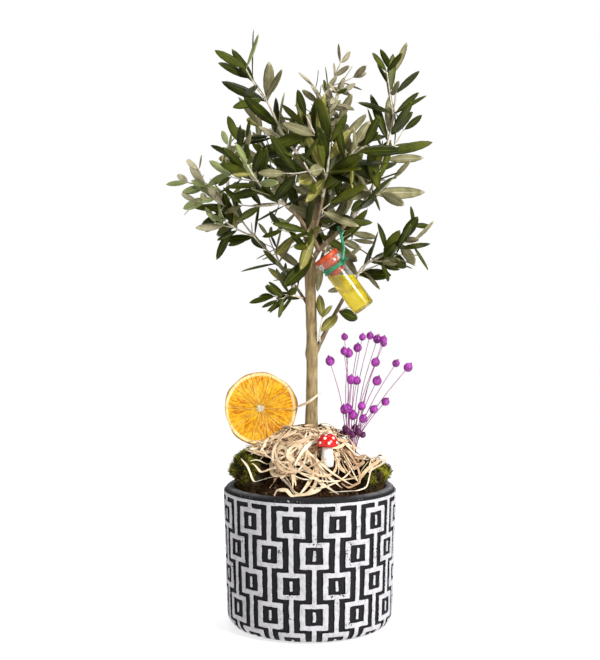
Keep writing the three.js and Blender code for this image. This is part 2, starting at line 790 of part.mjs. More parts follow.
// A direction that leans from one unit vector towards another by an angle
function leaning(along, outward, angle) {
  return along.clone().multiplyScalar(Math.cos(angle)).addScaledVector(outward, Math.sin(angle));
}

// A turned frame whose Y runs along a leaf and whose Z is its upper face
function leafPlace(root, direction, face) {
  const across = new THREE.Vector3().crossVectors(direction, face).normalize();
  const upper = new THREE.Vector3().crossVectors(across, direction);
  return new THREE.Matrix4().makeBasis(across, direction, upper).setPosition(root);
}

// Where the leaves of one shoot stand: pairs along its curve, each with length, root, direction and face
function leafStands(curve, leafLength, { step, tip, turn }, random) {
  const pairs = Math.max(2, Math.floor(curve.getLength() / step));
  const stands = [];
  for (let pair = 0; pair <= pairs; pair += 1) {
    const share = between(SHOOT.firstShare, 1, pair / pairs);
    const along = curve.getTangentAt(share);
    const level = new THREE.Vector3().crossVectors(along, UP).normalize();
    const size = leafLength * between(1, tip, share ** 2.2);
    for (const side of [0, 180]) {
      const angle = radians(turn + pair * 90 + side + between(-22, 22, random()));
      const outward = level.clone().applyAxisAngle(along, angle);
      const spread = radians(between(SHOOT.spreadFoot, SHOOT.spreadTip, share) + between(-12, 12, random()));
      const direction = leaning(along, outward, spread);
      const face = along.clone().addScaledVector(UP, 0.35);
      face.applyAxisAngle(direction, radians(between(-35, 35, random())));
      const length = size * between(0.8, 1.12, random());
      stands.push({ root: curve.getPointAt(share), direction, face, length });
    }
  }
  return stands;
}

// The side twigs of a shoot: short curves that leave the stem at even steps and bend towards the light
function twigCurves({ twigs, turn }, stem, random) {
  const made = [];
  for (let i = 0; i < twigs; i += 1) {
    const share = between(TWIG.fromShare, TWIG.toShare, twigs > 1 ? i / (twigs - 1) : 0.5);
    const root = stem.getPointAt(share);
    const along = stem.getTangentAt(share);
    const level = new THREE.Vector3().crossVectors(along, UP).normalize();
    const outward = level.applyAxisAngle(along, radians(turn + i * 137 + between(-20, 20, random())));
    const spread = radians(TWIG.spread);
    const direction = leaning(along, outward, spread);
    const length = TWIG.length * between(0.7, 1.1, random());
    const elbow = root.clone().addScaledVector(direction, length * 0.5);
    const tip = root.clone().addScaledVector(direction, length).addScaledVector(UP, length * 0.2);
    made.push(new THREE.QuadraticBezierCurve3(root, elbow, tip));
  }
  return made;
}

function stemCurve({ bough, points, at = 1 }) {
  const start = curves[bough].getPointAt(at);
  if (at === 1) start.addScaledVector(curves[bough].getTangentAt(1), GAP);
  return new THREE.CatmullRomCurve3([start, ...points.map(vector)]);
}

function twigSolid(curve, radius) {
  const steps = Math.max(3, Math.round(curve.getLength() / SHOOT.stepLength));
  return solidOf(limb(curve, (share) => between(radius, SHOOT.tipRadius, share), SHOOT.sides, steps));
}

const overlapping = (a, b) => {
  const [first, second] = [a.boundingBox(), b.boundingBox()];
  return [0, 1, 2].every((axis) => first.min[axis] < second.max[axis] && second.min[axis] < first.max[axis]);
};
const touches = (solid, others) =>
  others.some((other) => overlapping(solid, other) && !solid.intersect(other).isEmpty());

// All the masses: stems first, then side twigs, then leaves; what would touch another piece is skipped
function foliageSolids(fixed) {
  const random = randomStream(SHOOT.seed);
  const masses = FOLIAGE.map((plan) => {
    const stem = stemCurve(plan);
    const boughTip = BOUGHS.find(({ name }) => name === plan.bough).radii[1];
    const piece = carve(twigSolid(stem, boughTip), grownLimbs);
    return { plan, shoots: [{ curve: stem, leaf: plan.leaf }], pieces: [piece], leaves: [] };
  });
  const allOf = ({ pieces, leaves }) => [...pieces, ...leaves.map(({ solid }) => solid)];
  const othersOf = (mass) => [...fixed, ...masses.filter((other) => other !== mass).flatMap(allOf)];
  for (const mass of masses) {
    const others = othersOf(mass);
    for (const curve of twigCurves(mass.plan, mass.shoots[0].curve, random)) {
      const twig = twigSolid(curve, TWIG.radius);
      if (touches(twig, others)) continue;
      mass.pieces.push(twig);
      mass.shoots.push({ curve, leaf: mass.plan.leaf * TWIG.leafShare });
    }
  }
  for (const mass of masses) {
    const others = othersOf(mass);
    for (const { curve, leaf } of mass.shoots) {
      for (const stand of leafStands(curve, leaf, mass.plan, random)) {
        const place = leafPlace(stand.root, stand.direction, stand.face);
        const width = stand.length * LEAF.widthShare;
        const room = solidOf(leafGeometry(stand.length, width, LEAF_CLEARANCE).applyMatrix4(place));
        const earlier = mass.leaves.filter(({ root }) => root.distanceTo(stand.root) > 1);
        if (touches(room, others) || touches(room, earlier.map(({ solid }) => solid))) continue;
        const solid = solidOf(leafGeometry(stand.length, width).applyMatrix4(place));
        mass.leaves.push({ root: stand.root, solid });
      }
    }
  }
  return masses.map((mass) => ({ name: mass.plan.name, solid: join(allOf(mass)) }));
}

// Assembly

const bonsai = new THREE.Group();

function add(name, shape, finish) {
  const geometry = shape.isBufferGeometry ? shape : geometryOf(shape);
  const mesh = new THREE.Mesh(geometry, new THREE.MeshStandardMaterial(FINISH[finish]));
  mesh.name = name;
  bonsai.add(mesh);
}

const grownPot = plainPot(GAP);
const grownSoil = solidOf(soilGeometry(GAP));
const grownSlice = solidOf(sliceGeometry(GAP));
const grownBundle = solidOf(bundleGeometry(GAP));
const grownStalk = solidOf(stalkGeometry(GAP));
const grownCap = solidOf(capGeometry(GAP));

add("pot", potSolid(), "cement");
add("soil", soilGeometry(), "soil");
for (const lump of MOSS) {
  const cutters = [grownSoil, grownPot, grownSlice, grownBundle, grownStalk];
  add(lump.name, carve(solidOf(mossGeometry(lump)), cutters), "moss");
}
const grownMoss = MOSS.map((lump) => solidOf(mossGeometry(lump, GAP)));
const onNest = [grownSlice, grownBundle, grownStalk, grownCap];
add("raffia_nest", nestSolid([...grownMoss, grownSoil, ...onNest]), "raffia");
add("orange_slice", sliceGeometry(), "orange");
add("mushroom_stalk", stalkGeometry(), "mushroomWhite");
add("mushroom_cap", capGeometry(), "mushroomRed");

for (const [name, solid] of Object.entries(limbs)) add(name, solid, "bark");

const pods = podsSolid();
const tie = tieSolid(curves.bough_right);
add("flax_pods", pods, "pods");
add("vial_glass", glassGeometry(), "glass");
add("vial_oil", oilSolid(), "oil");
add("vial_stopper", stopperGeometry(), "stopper");
add("vial_tie", tie, "tie");

const vial = [solidOf(glassGeometry()), solidOf(stopperGeometry())];
const fixed = [...Object.values(limbs), pods, tie, ...vial, grownSlice];
for (const { name, solid } of foliageSolids(fixed)) add(name, solid, "leaf");

export default bonsai;
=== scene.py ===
# %% [markdown]
# This lesson dresses a small olive bonsai in its round cement pot. The solids of the part come first,
# because every piece made here stands in their frame, in metres. Their box is kept at once, so that the
# dressed plant can be measured against it at the end.

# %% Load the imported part
import math

import bmesh
import bpy
import numpy as np
from mathutils import Matrix, Quaternion, Vector, noise


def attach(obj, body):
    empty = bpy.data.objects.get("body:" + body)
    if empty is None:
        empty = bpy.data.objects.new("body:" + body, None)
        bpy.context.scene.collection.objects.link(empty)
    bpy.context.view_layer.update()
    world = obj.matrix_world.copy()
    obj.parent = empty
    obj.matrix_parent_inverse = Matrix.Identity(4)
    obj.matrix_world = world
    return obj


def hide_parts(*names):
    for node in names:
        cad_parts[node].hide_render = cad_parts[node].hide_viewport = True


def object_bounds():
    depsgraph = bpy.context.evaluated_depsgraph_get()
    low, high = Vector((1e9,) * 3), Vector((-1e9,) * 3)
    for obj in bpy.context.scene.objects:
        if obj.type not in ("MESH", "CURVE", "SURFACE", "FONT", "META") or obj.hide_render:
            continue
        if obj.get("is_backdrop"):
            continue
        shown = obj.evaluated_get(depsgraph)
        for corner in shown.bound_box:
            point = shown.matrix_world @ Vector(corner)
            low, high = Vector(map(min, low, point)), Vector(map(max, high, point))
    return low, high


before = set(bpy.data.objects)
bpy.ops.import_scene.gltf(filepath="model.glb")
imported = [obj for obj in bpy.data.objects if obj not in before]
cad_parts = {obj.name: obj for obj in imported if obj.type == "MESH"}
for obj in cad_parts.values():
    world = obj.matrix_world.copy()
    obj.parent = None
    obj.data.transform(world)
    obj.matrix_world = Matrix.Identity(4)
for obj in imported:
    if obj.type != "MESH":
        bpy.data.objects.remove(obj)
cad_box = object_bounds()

MM = 0.001
print("solids:", len(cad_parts), "box:", [tuple(round(c, 4) for c in corner) for corner in cad_box])

# %% [markdown]
# The photograph was taken from about a metre away with a slightly long lens, a little above the middle of
# the plant. A camera can be matched by eye, but here its height, tilt and focal length were worked out from
# the pot's ellipses, so the numbers are simply set.

# %% Camera
IMAGE_TALL = 660
FOCAL_PIXELS = 1345
SENSOR = 36.0
CAMERA_PLACE = (-0.0074, -1.0, 0.275)
CAMERA_TILT = 86.9


def new_object(name, data):
    made = bpy.data.objects.new(name, data)
    bpy.context.scene.collection.objects.link(made)
    return made


camera_data = bpy.data.cameras.new("plant_camera")
camera_data.sensor_width = SENSOR
camera_data.lens = FOCAL_PIXELS / IMAGE_TALL * SENSOR
camera_data.clip_start = 0.01
camera = new_object("plant_camera", camera_data)
camera.location = CAMERA_PLACE
camera.rotation_euler = (math.radians(CAMERA_TILT), 0, 0)
bpy.context.scene.camera = camera
print("lens:", round(camera_data.lens, 2), "mm")

# %% [markdown]
# The picture is a bright studio cut-out on white. The floor is a pale sheet that glows a little, like a light
# table. A sheet that is only lit would need very strong lamps to come out white, and they would bleach the
# leaves. The floor is marked as stage, because it is no part of the plant.

# %% Floor
FLOOR = {"half": 1.25, "height": -0.0004, "grey": (0.45, 0.45, 0.45), "glow": 0.72}
WHITE = (1, 1, 1)


def new_material(name):
    """A new material and its shader."""
    made = bpy.data.materials.new(name)
    made.use_nodes = True
    return made, made.node_tree.nodes["Principled BSDF"]


def feed(socket, value):
    """Sets a socket to a plain value or a colour, or links it to the output of another node."""
    if isinstance(value, bpy.types.NodeSocket):
        socket.id_data.links.new(value, socket)
    else:
        socket.default_value = (*value, 1) if socket.type == "RGBA" else value


def set_inputs(node, **values):
    """Feeds a node's sockets by their names; an underscore in a name stands for a space."""
    for name, value in values.items():
        feed(node.inputs[name.replace("_", " ")], value)


def plain_floor():
    bm = bmesh.new()
    bmesh.ops.create_grid(bm, x_segments=1, y_segments=1, size=FLOOR["half"])
    mesh = bpy.data.meshes.new("studio_floor")
    bm.to_mesh(mesh)
    bm.free()
    paper, shader = new_material("studio_paper")
    set_inputs(shader, Base_Color=FLOOR["grey"], Roughness=0.95, Emission_Color=WHITE,
               Emission_Strength=FLOOR["glow"])
    mesh.materials.append(paper)
    made = new_object("studio_floor", mesh)
    made.location.z = FLOOR["height"]
    return made


floor = plain_floor()
floor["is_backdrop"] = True
print("floor:", 2 * FLOOR["half"], "m wide")

# %% [markdown]
# Shaders and the world are built from small nodes, and each takes several lines to make, set and link. These
# helpers turn a kind of node into one call, which takes plain numbers or the outputs of other nodes, so a
# finish can be read like a sum.

# %% Node helpers
# Places of the colour sockets on a Mix node
MIX_FIRST = 6
MIX_SECOND = 7
MIX_RESULT = 2


def new_node(tree, kind, **values):
    node = tree.nodes.new("ShaderNode" + kind)
    set_inputs(node, **values)
    return node


def object_place(tree):
    return new_node(tree, "TexCoord").outputs["Object"]


def axis_of(tree, vector, axis):
    return new_node(tree, "SeparateXYZ", Vector=vector).outputs[axis]


def noise_node(tree, scale, detail=4.0, place=None):
    place = place or object_place(tree)
    return new_node(tree, "TexNoise", Scale=scale, Detail=detail, Vector=place).outputs["Fac"]


def math_node(tree, operation, *values, kind="Math", output="Value"):
    node = new_node(tree, kind)
    node.operation = operation
    for socket, value in zip(node.inputs, values):
        feed(socket, value)
    return node.outputs[output]


def range_node(tree, value, low, high, to_low=0.0, to_high=1.0):
    node = new_node(tree, "MapRange", Value=value, From_Min=low, From_Max=high, To_Min=to_low, To_Max=to_high)
    return node.outputs["Result"]


def mix_node(tree, share, first, second):
    node = new_node(tree, "Mix", Factor=share)
    node.data_type = "RGBA"
    feed(node.inputs[MIX_FIRST], first)
    feed(node.inputs[MIX_SECOND], second)
    return node.outputs[MIX_RESULT]


NODE_HELPERS = (object_place, axis_of, noise_node, math_node, range_node, mix_node)
print("node helpers:", [helper.__name__ for helper in NODE_HELPERS])

# %% [markdown]
# The world behind the plant is white where the camera looks straight at it or through glass, and softer as a
# light, so that dark leaves stay dark. One background can't be both, so two of them are mixed by the kind of
# ray that asks.

# %% World
WORLD_LIGHT = 0.36


def studio_world():
    world = bpy.data.worlds.new("studio_world")
    world.use_nodes = True
    tree = world.node_tree
    lit = tree.nodes["Background"]
    set_inputs(lit, Color=WHITE, Strength=WORLD_LIGHT)
    seen = new_node(tree, "Background", Color=WHITE)
    ray = new_node(tree, "LightPath").outputs
    straight = math_node(tree, "MAXIMUM", ray["Is Camera Ray"], ray["Is Transmission Ray"])
    blend = new_node(tree, "MixShader", Fac=straight)
    feed(blend.inputs[1], lit.outputs["Background"])
    feed(blend.inputs[2], seen.outputs["Background"])
    set_inputs(tree.nodes["World Output"], Surface=blend.outputs["Shader"])
    return world


bpy.context.scene.world = studio_world()
bpy.context.scene.view_settings.view_transform = "Standard"
print("world light:", WORLD_LIGHT)

# %% [markdown]
# Three soft area lights do the rest. The key light stands in front and to the right, because the white paint
# on the pot is bright there and grey on the left. A weak fill on the left and a broad lamp overhead keep the
# shadows open, as the soft boxes of a studio do. A sun lamp would be simpler, but its shadows are hard.

# %% Lights
# Place, aim, size and watts of each light
LIGHTS = {
    "key_light": ((1.05, -1.15, 0.95), (0, 0, 0.2), 0.6, 38),
    "fill_light": ((-1.3, -0.9, 0.5), (0, 0, 0.25), 0.9, 2.5),
    "top_light": ((0.1, 0.3, 1.7), (0, 0, 0.2), 1.0, 16),
}

for name, (place, aim, size, watts) in LIGHTS.items():
    lamp = bpy.data.lights.new(name, "AREA")
    lamp.shape = "DISK"
    lamp.size = size
    lamp.energy = watts
    light = new_object(name, lamp)
    light.location = place
    light.rotation_euler = (Vector(aim) - Vector(place)).to_track_quat("-Z", "Y").to_euler()
print("lights:", len(LIGHTS))

# %% [markdown]
# Nearly every surface on the plant is a natural one that varies a little from place to place: cement,
# peat, moss, bark, dried fibre. One node group holds that idea. It mixes a dark and a light colour by a noise
# that can be stretched along an axis, and hands out the noise as a height for a bump as well.

# %% Shared grain group
GRAIN_SOCKETS = {
    "INPUT": {"Dark": "Color", "Light": "Color", "Scale": "Float", "Stretch": "Vector", "Low": "Float",
              "High": "Float"},
    "OUTPUT": {"Colour": "Color", "Height": "Float"},
}


def make_grain():
    group = bpy.data.node_groups.new("natural_grain", "ShaderNodeTree")
    for way, sockets in GRAIN_SOCKETS.items():
        for name, kind in sockets.items():
            group.interface.new_socket(name=name, in_out=way, socket_type="NodeSocket" + kind)
    given = group.nodes.new("NodeGroupInput").outputs
    place = math_node(group, "MULTIPLY", object_place(group), given["Stretch"],
                      kind="VectorMath", output="Vector")
    speckle = noise_node(group, given["Scale"], 5.0, place)
    spread = range_node(group, speckle, given["Low"], given["High"])
    colour = mix_node(group, spread, given["Dark"], given["Light"])
    set_inputs(group.nodes.new("NodeGroupOutput"), Colour=colour, Height=speckle)
    return group


GRAIN = make_grain()
print("group sockets:", len(GRAIN.interface.items_tree))

# %% [markdown]
# A finish is then one call: two colours, the size of the grain, and the bump it throws. Numbers that are the
# same all over, such as roughness, go straight onto the shader's own sockets, so nothing is lost on export.

# %% Finish helpers
def grain_node(tree, dark, light, scale, stretch=(1, 1, 1), low=0.35, high=0.65):
    node = new_node(tree, "Group")
    node.node_tree = GRAIN
    set_inputs(node, Dark=dark, Light=light, Scale=scale, Stretch=stretch, Low=low, High=high)
    return node


def bump_node(tree, shader, height, depth, strength=1.0):
    node = new_node(tree, "Bump", Strength=strength, Distance=depth, Height=height)
    set_inputs(shader, Normal=node.outputs["Normal"])


def grained(name, dark, light, scale, roughness, depth=0.0,
            stretch=(1, 1, 1), low=0.35, high=0.65, **plain):
    """A finish with the shared grain; depth is that of its bump in metres, plain goes to the shader."""
    made, shader = new_material(name)
    tree = made.node_tree
    node = grain_node(tree, dark, light, scale, stretch, low, high)
    set_inputs(shader, Base_Color=node.outputs["Colour"], Roughness=roughness, **plain)
    if depth:
        bump_node(tree, shader, node.outputs["Height"], depth)
    return made


def finish_set(rows, kind=""):
    """Finishes from rows of two colours, grain, roughness, sheen and, where there is a bump, its depth."""
    return [grained(kind + name, *row[:4], *row[5:], Specular_IOR_Level=row[4]) for name, row in rows.items()]


print("finish helpers:", [helper.__name__ for helper in (grain_node, bump_node, grained, finish_set)])

# %% [markdown]
# Every piece ends the same way: its mesh gets its finishes and smooth shading, with sharp edges only above a
# given angle. Then it is tied to the frame. It rides on the plant's one body and names the solids that it
# stands for, which are hidden from then on.

# %% Piece helpers
def mesh_piece(name, mesh, finishes, nodes=(), crease=None):
    """Makes a mesh a finished piece that rides with the plant."""
    for finish in finishes:
        mesh.materials.append(finish)
    mesh.shade_smooth()
    if crease:
        mesh.set_sharp_from_angle(angle=math.radians(crease))
    piece = new_object(name, mesh)
    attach(piece, "root")
    if nodes:
        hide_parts(*nodes)
    mesh.calc_loop_triangles()
    print(name, "triangles:", len(mesh.loop_triangles))


def new_piece(name, bm, finishes, nodes=(), crease=None):
    """Makes a bmesh a finished piece, and lets go of it."""
    mesh = bpy.data.meshes.new(name)
    bm.to_mesh(mesh)
    bm.free()
    mesh_piece(name, mesh, finishes, nodes, crease)


def between(low, high, share):
    return low + (high - low) * share


print("solids that wait for a piece:", len(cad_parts))

# %% [markdown]
# The pot is cast cement with a raised chain pattern, and white paint rolled over the raised faces only. A
# bump map would look flat along the outline, so the pattern is real relief. The wall is spun from a profile
# whose rows lie on the pattern's lines, so that whole faces of it can be extruded later.

# %% Pot sizes and profile
POT = {"rim": 64.5, "foot": 62.0, "height": 105.5, "wall": 9.0, "floor": 10.0, "heel": 11.0, "lip": 3.6,
       "inner_lip": 3.0}
# Half widths on a chain, in shares of the pitch from chain to chain
CHAIN = {"count": 24, "first": 2.45, "core": 0.06, "bar": 0.1, "plain": 0.24, "cell": 0.383}
CHAIN_HALVES = (CHAIN["core"], CHAIN["bar"], CHAIN["plain"], CHAIN["cell"])
CHAIN_LINES = (*(-half for half in reversed(CHAIN_HALVES)), *CHAIN_HALVES, 0.5)
CHAIN_STEPS = CHAIN["count"] * len(CHAIN_LINES)
SQUARE = {"half": 9.5, "cell": 6.2, "core": 3.7, "rows": (86.7, 64.65, 42.6, 20.6, -0.6)}
HEEL_MIDDLE = POT["foot"] - POT["heel"]
RING = (99.8, 101.9)
RELIEF = 1.15
HEEL_ROWS = (1.0, 2.2, 3.1, 7.2)
LOWEST_EDGE = 5
ROW_STEP = 2.6


def pot_radius(height):
    share = (height - POT["heel"]) / (POT["height"] - POT["lip"] - POT["heel"])
    return between(POT["foot"], POT["rim"], max(0.0, share))


def ground_point(height):
    """Radius and height of the black ground, for a height on the raised face in front of it."""
    heel = POT["heel"]
    if height >= heel:
        return pot_radius(height) - RELIEF, height
    slope = math.asin((heel - height) / heel)
    reach = heel - RELIEF
    return HEEL_MIDDLE + reach * math.cos(slope), heel - reach * math.sin(slope)


def pattern_lines():
    """Heights of the rows of faces: the pattern's edges, and more between those that lie far apart."""
    lines = {*HEEL_ROWS, *RING}
    for middle in SQUARE["rows"]:
        for half in (SQUARE["half"], SQUARE["cell"], SQUARE["core"]):
            lines.update(h for h in (middle - half, middle + half) if h > LOWEST_EDGE)
    edges = sorted(lines)
    for low, high in zip(edges, edges[1:]):
        parts = math.ceil((high - low) / ROW_STEP)
        lines.update(between(low, high, i / parts) for i in range(1, parts))
    return sorted(lines)


def arc(middle, height, radius, turns):
    """Points of a rounding in a profile, by their turns in degrees from the outer side."""
    angles = [math.radians(turn) for turn in turns]
    return [(middle + radius * math.cos(a), height + radius * math.sin(a)) for a in angles]


def rim_points():
    lip, inner_lip = POT["lip"], POT["inner_lip"]
    outer = pot_radius(RING[1]) - RELIEF - lip
    inner = POT["rim"] - POT["wall"]
    points = arc(outer, RING[1], lip, (20, 40, 60, 80, 90))
    return points + arc(inner + inner_lip, RING[1] + lip - inner_lip, inner_lip, (100, 120, 140, 160, 180))


LINES = pattern_lines()
FOOT_POINTS = [(0, 0), (HEEL_MIDDLE, 0), (53.6, 0.6)]
POT_PROFILE = FOOT_POINTS + [ground_point(h) for h in LINES] + rim_points()
POT_PROFILE += [(POT["foot"] - POT["wall"], POT["floor"]), (0, POT["floor"])]
print("profile points:", len(POT_PROFILE), "rows of pattern:", len(LINES) - 1)

# %% [markdown]
# Spinning the profile gives columns of faces at even turns, but the pattern's lines are uneven: a bar is
# narrow and a cell is wide. So each column is moved round the axis onto the line that it stands for. Cutting
# the lines with a knife would do too, but leaves slivers.

# %% Spin the pot and lay its columns on the pattern
ON_AXIS = 1e-5


def faced_out(bm):
    bmesh.ops.recalc_face_normals(bm, faces=bm.faces)
    return bm


def spun(profile, steps):
    """A closed turned shape about Z from a profile of radius and height in millimetres."""
    bm = bmesh.new()
    verts = [bm.verts.new((radius * MM, 0, height * MM)) for radius, height in profile]
    edges = [bm.edges.new(pair) for pair in zip(verts, verts[1:])]
    bmesh.ops.spin(bm, geom=verts + edges, axis=(0, 0, 1), cent=(0, 0, 0), angle=2 * math.pi,
                   steps=steps, use_merge=True)
    bmesh.ops.remove_doubles(bm, verts=bm.verts, dist=1e-6)
    return faced_out(bm)


def column_of(vert, steps):
    return round(math.atan2(vert.co.y, vert.co.x) / (2 * math.pi / steps)) % steps


def lay_columns(bm, steps):
    """Moves the points onto the pattern's lines, and returns the column of each."""
    columns = {}
    pitch = 360 / CHAIN["count"]
    for vert in bm.verts:
        radius = vert.co.to_2d().length
        if radius < ON_AXIS:
            continue
        column = column_of(vert, steps)
        chain, line = divmod(column, len(CHAIN_LINES))
        angle = math.radians(CHAIN["first"] - 90 + (chain + CHAIN_LINES[line]) * pitch)
        vert.co.x = radius * math.cos(angle)
        vert.co.y = radius * math.sin(angle)
        columns[vert] = column
    return columns


pot_bm = spun(POT_PROFILE, CHAIN_STEPS)
pot_columns = lay_columns(pot_bm, CHAIN_STEPS)
print("faces on the wall:", len(pot_bm.faces))

# %% [markdown]
# Now each face lies either wholly on the pattern or wholly beside it, and its middle tells which. The pattern
# is a rule in the chain's own measures: squares stand on every other row of a chain, the bar runs between
# them, and neighbouring squares share their sides. Picking hundreds of faces by hand would be slow.

# %% Choose the raised faces
def is_raised(height, chain, share):
    """True on the squares, bars and ring; share is from the middle of the chain, in pitches."""
    is_link = abs(share) < CHAIN["bar"]
    if height > RING[0]:
        return True
    for row, middle in enumerate(SQUARE["rows"]):
        away = abs(height - middle)
        if away > SQUARE["half"]:
            continue
        if abs(share) > CHAIN["cell"]:
            return True
        if chain % 2 == (row + 1) % 2:
            return away > SQUARE["cell"] or (abs(share) < CHAIN["core"] and away < SQUARE["core"])
        return is_link
    return is_link


line_of = {round(ground_point(h)[1], 3): h for h in LINES}


def pattern_faces(bm, columns):
    chosen = []
    least = HEEL_MIDDLE + 2
    for face in bm.faces:
        heights = {line_of.get(round(v.co.z / MM, 3)) for v in face.verts}
        radius = face.calc_center_median().to_2d().length / MM
        if None in heights or len(heights) != 2 or radius < least:
            continue
        sides = sorted({columns[v] for v in face.verts})
        side = sides[-1] if sides[-1] - sides[0] > 1 else sides[0]
        chain, column = divmod(side, len(CHAIN_LINES))
        after = (*CHAIN_LINES, 1 + CHAIN_LINES[0])[column + 1]
        if is_raised(sum(heights) / 2, chain, (CHAIN_LINES[column] + after) / 2):
            chosen.append(face)
    return chosen


raised = pattern_faces(pot_bm, pot_columns)
print("raised faces:", len(raised))

# %% [markdown]
# The chosen faces are extruded together. Separate blocks on the wall would do too, but leave seams. Cast
# cement has no sharp edges, so the upright corners are bevelled first and the rims of the raised faces after
# them. The share of relief is worked out from a point's place, because bevels make points that no list knows.

# %% Extrude and bevel the pattern
CORNER_ROUND = 0.85
EDGE_ROUND = 0.5
CORNER_ANGLE = 40
ON_GROUND = 0.03
ON_TOP = 0.97
FOOT_EDGE = 0.4
RING_MARGIN = 0.05


def raised_point(co):
    """Where a point of the black ground comes to lie when the pattern is raised."""
    radius = co.to_2d().length / MM
    height = co.z / MM
    if height >= POT["heel"]:
        return radius + RELIEF, height
    away = Vector((radius - HEEL_MIDDLE, height - POT["heel"]))
    away *= POT["heel"] / away.length
    return HEEL_MIDDLE + away.x, POT["heel"] + away.y


def lift_of(co):
    """Share of the relief that a point of the outer wall stands proud of the ground, else 0."""
    radius = co.to_2d().length / MM
    height = co.z / MM
    if height > RING[1] + RING_MARGIN or height < FOOT_EDGE:
        return 0.0
    if height >= POT["heel"]:
        proud = radius - (pot_radius(height) - RELIEF)
    else:
        proud = math.hypot(radius - HEEL_MIDDLE, height - POT["heel"]) - (POT["heel"] - RELIEF)
    return min(1.0, max(0.0, proud / RELIEF))


def is_corner(edge, lifts):
    """True for an edge that runs out from the ground to the raised face where two side walls meet."""
    low, high = sorted(lifts[v] for v in edge.verts)
    return low < ON_GROUND and high > ON_TOP and edge.calc_face_angle(0) > math.radians(CORNER_ANGLE)


def round_edges(bm, edges, offset):
    bmesh.ops.bevel(bm, geom=edges, offset=offset * MM, offset_type="OFFSET", segments=3, profile=0.5,
                    affect="EDGES", clamp_overlap=True, material=-1)


def raise_pattern(bm, faces):
    """Extrudes and bevels the pattern, and returns how many edges its raised faces have."""
    grown = bmesh.ops.extrude_face_region(bm, geom=faces)["geom"]
    for vert in (g for g in grown if isinstance(g, bmesh.types.BMVert)):
        radius, height = raised_point(vert.co)
        scale = radius * MM / vert.co.to_2d().length
        vert.co.x *= scale
        vert.co.y *= scale
        vert.co.z = height * MM
    bmesh.ops.delete(bm, geom=[f for f in faces if f.is_valid], context="FACES")
    lifts = {vert: lift_of(vert.co) for vert in bm.verts}
    round_edges(bm, [e for e in bm.edges if is_corner(e, lifts)], CORNER_ROUND)
    tops = {f for f in bm.faces if all(lift_of(v.co) > ON_TOP for v in f.verts)}
    edges = {e for f in tops for e in f.edges if any(other not in tops for other in e.link_faces)}
    round_edges(bm, list(edges), EDGE_ROUND)
    bmesh.ops.dissolve_degenerate(bm, dist=1e-6, edges=bm.edges)
    return len(edges)


print("bevelled edges:", raise_pattern(pot_bm, raised), "faces:", len(pot_bm.faces))

# %% [markdown]
# The white paint was rolled on, so it holds where the relief stands proud, and a little of it on the lip.
# Each point keeps that share as an attribute, because a shader can't ask for the relief itself. After that,
# noises shift the wall's points a little along it, because the edges of a hand-cut mould wander.

# %% Paint shares and wandering edges
LIP_PAINT = 0.42
LIP_BAND = 1.5
OUTER_BAND = 4
RING_FREE = 1
# Scale, size in millimetres and offset, if any, of the noises that shift the wall's points
SWAY = ((170, 0.45), (480, 0.3))
CLIMB = ((170, 0.35, (9, 4, 2)), (480, 0.3, (3, 8, 1)))


def layered(co, layers):
    """The sum of several noises at a point."""
    return sum(noise.noise(co * scale + Vector(*offset)) * size for scale, size, *offset in layers)


def paint_share(co):
    on_lip = RING[1] + RING_MARGIN < co.z / MM < RING[1] + LIP_BAND
    if on_lip and co.to_2d().length > (POT["rim"] - OUTER_BAND) * MM:
        return LIP_PAINT
    return lift_of(co)


def wander(vert):
    """Shifts a point of the wall a little along it."""
    radius = vert.co.to_2d().length
    climb = layered(vert.co, CLIMB)
    angle = math.atan2(vert.co.y, vert.co.x) + layered(vert.co, SWAY) * MM / radius
    vert.co.x = radius * math.cos(angle)
    vert.co.y = radius * math.sin(angle)
    if vert.co.z > POT["heel"] * MM:
        vert.co.z += climb * MM


paint_layer = pot_bm.verts.layers.float.new("paint")
wandered = 0
for vert in pot_bm.verts:
    vert[paint_layer] = paint_share(vert.co)
    is_outside = vert.co.to_2d().length > (POT["foot"] - OUTER_BAND) * MM
    if is_outside and vert.co.z < (RING[0] + RING_FREE) * MM:
        wander(vert)
        wandered += 1
print("points that wander:", wandered, "of", len(pot_bm.verts))

# %% [markdown]
# The paint stops at a ragged line near each raised edge and leaves flecks on the lip, the charcoal cement is
# pitted, and pale dust and a painted sheen lie on the left and right shoulders of the rim. An image could
# hold all that, but would blur close up. Here the kept share says where paint can hold, two noises fray it,
# and the dust and painted sheen ask which way the surface faces and how far to the side it lies.

# %% Pot finish
CEMENT = ((0.005, 0.005, 0.006), (0.016, 0.0155, 0.018))
PAINT = ((0.4, 0.388, 0.41), (0.53, 0.515, 0.54))
# Pale grey of the dust on the rim, and of the painted sheen that its flat top shows at the left and right
DUST_AND_SHEEN = (0.22, 0.213, 0.22)


def paint_mask(tree):
    """1 where the paint holds: on the kept share, frayed by a fine noise and worn by a broad one."""
    proud = new_node(tree, "Attribute")
    proud.attribute_name = "paint"
    fray = math_node(tree, "MULTIPLY_ADD", noise_node(tree, 800.0), 1.45, -0.725)
    patch = math_node(tree, "MULTIPLY_ADD", noise_node(tree, 60.0, 3.0), 1.3, -0.62)
    edge = math_node(tree, "ADD", math_node(tree, "ADD", proud.outputs["Fac"], fray), patch)
    return range_node(tree, edge, 0.62, 0.74)


def rim_dust_and_sheen(tree):
    """How much dust and painted sheen a point shows: most where it faces up, on the left and right shoulders.
    """
    facing = new_node(tree, "NewGeometry")
    flat = range_node(tree, axis_of(tree, facing.outputs["Normal"], "Z"), 0.5, 0.95)
    sideways = math_node(tree, "ABSOLUTE", axis_of(tree, object_place(tree), "X"))
    aside = range_node(tree, sideways, 0.025, 0.06, 0.06, 1.0)
    patchy = range_node(tree, noise_node(tree, 150.0), 0.3, 0.6, 0.5, 1.0)
    return math_node(tree, "MULTIPLY", math_node(tree, "MULTIPLY", flat, patchy), aside)


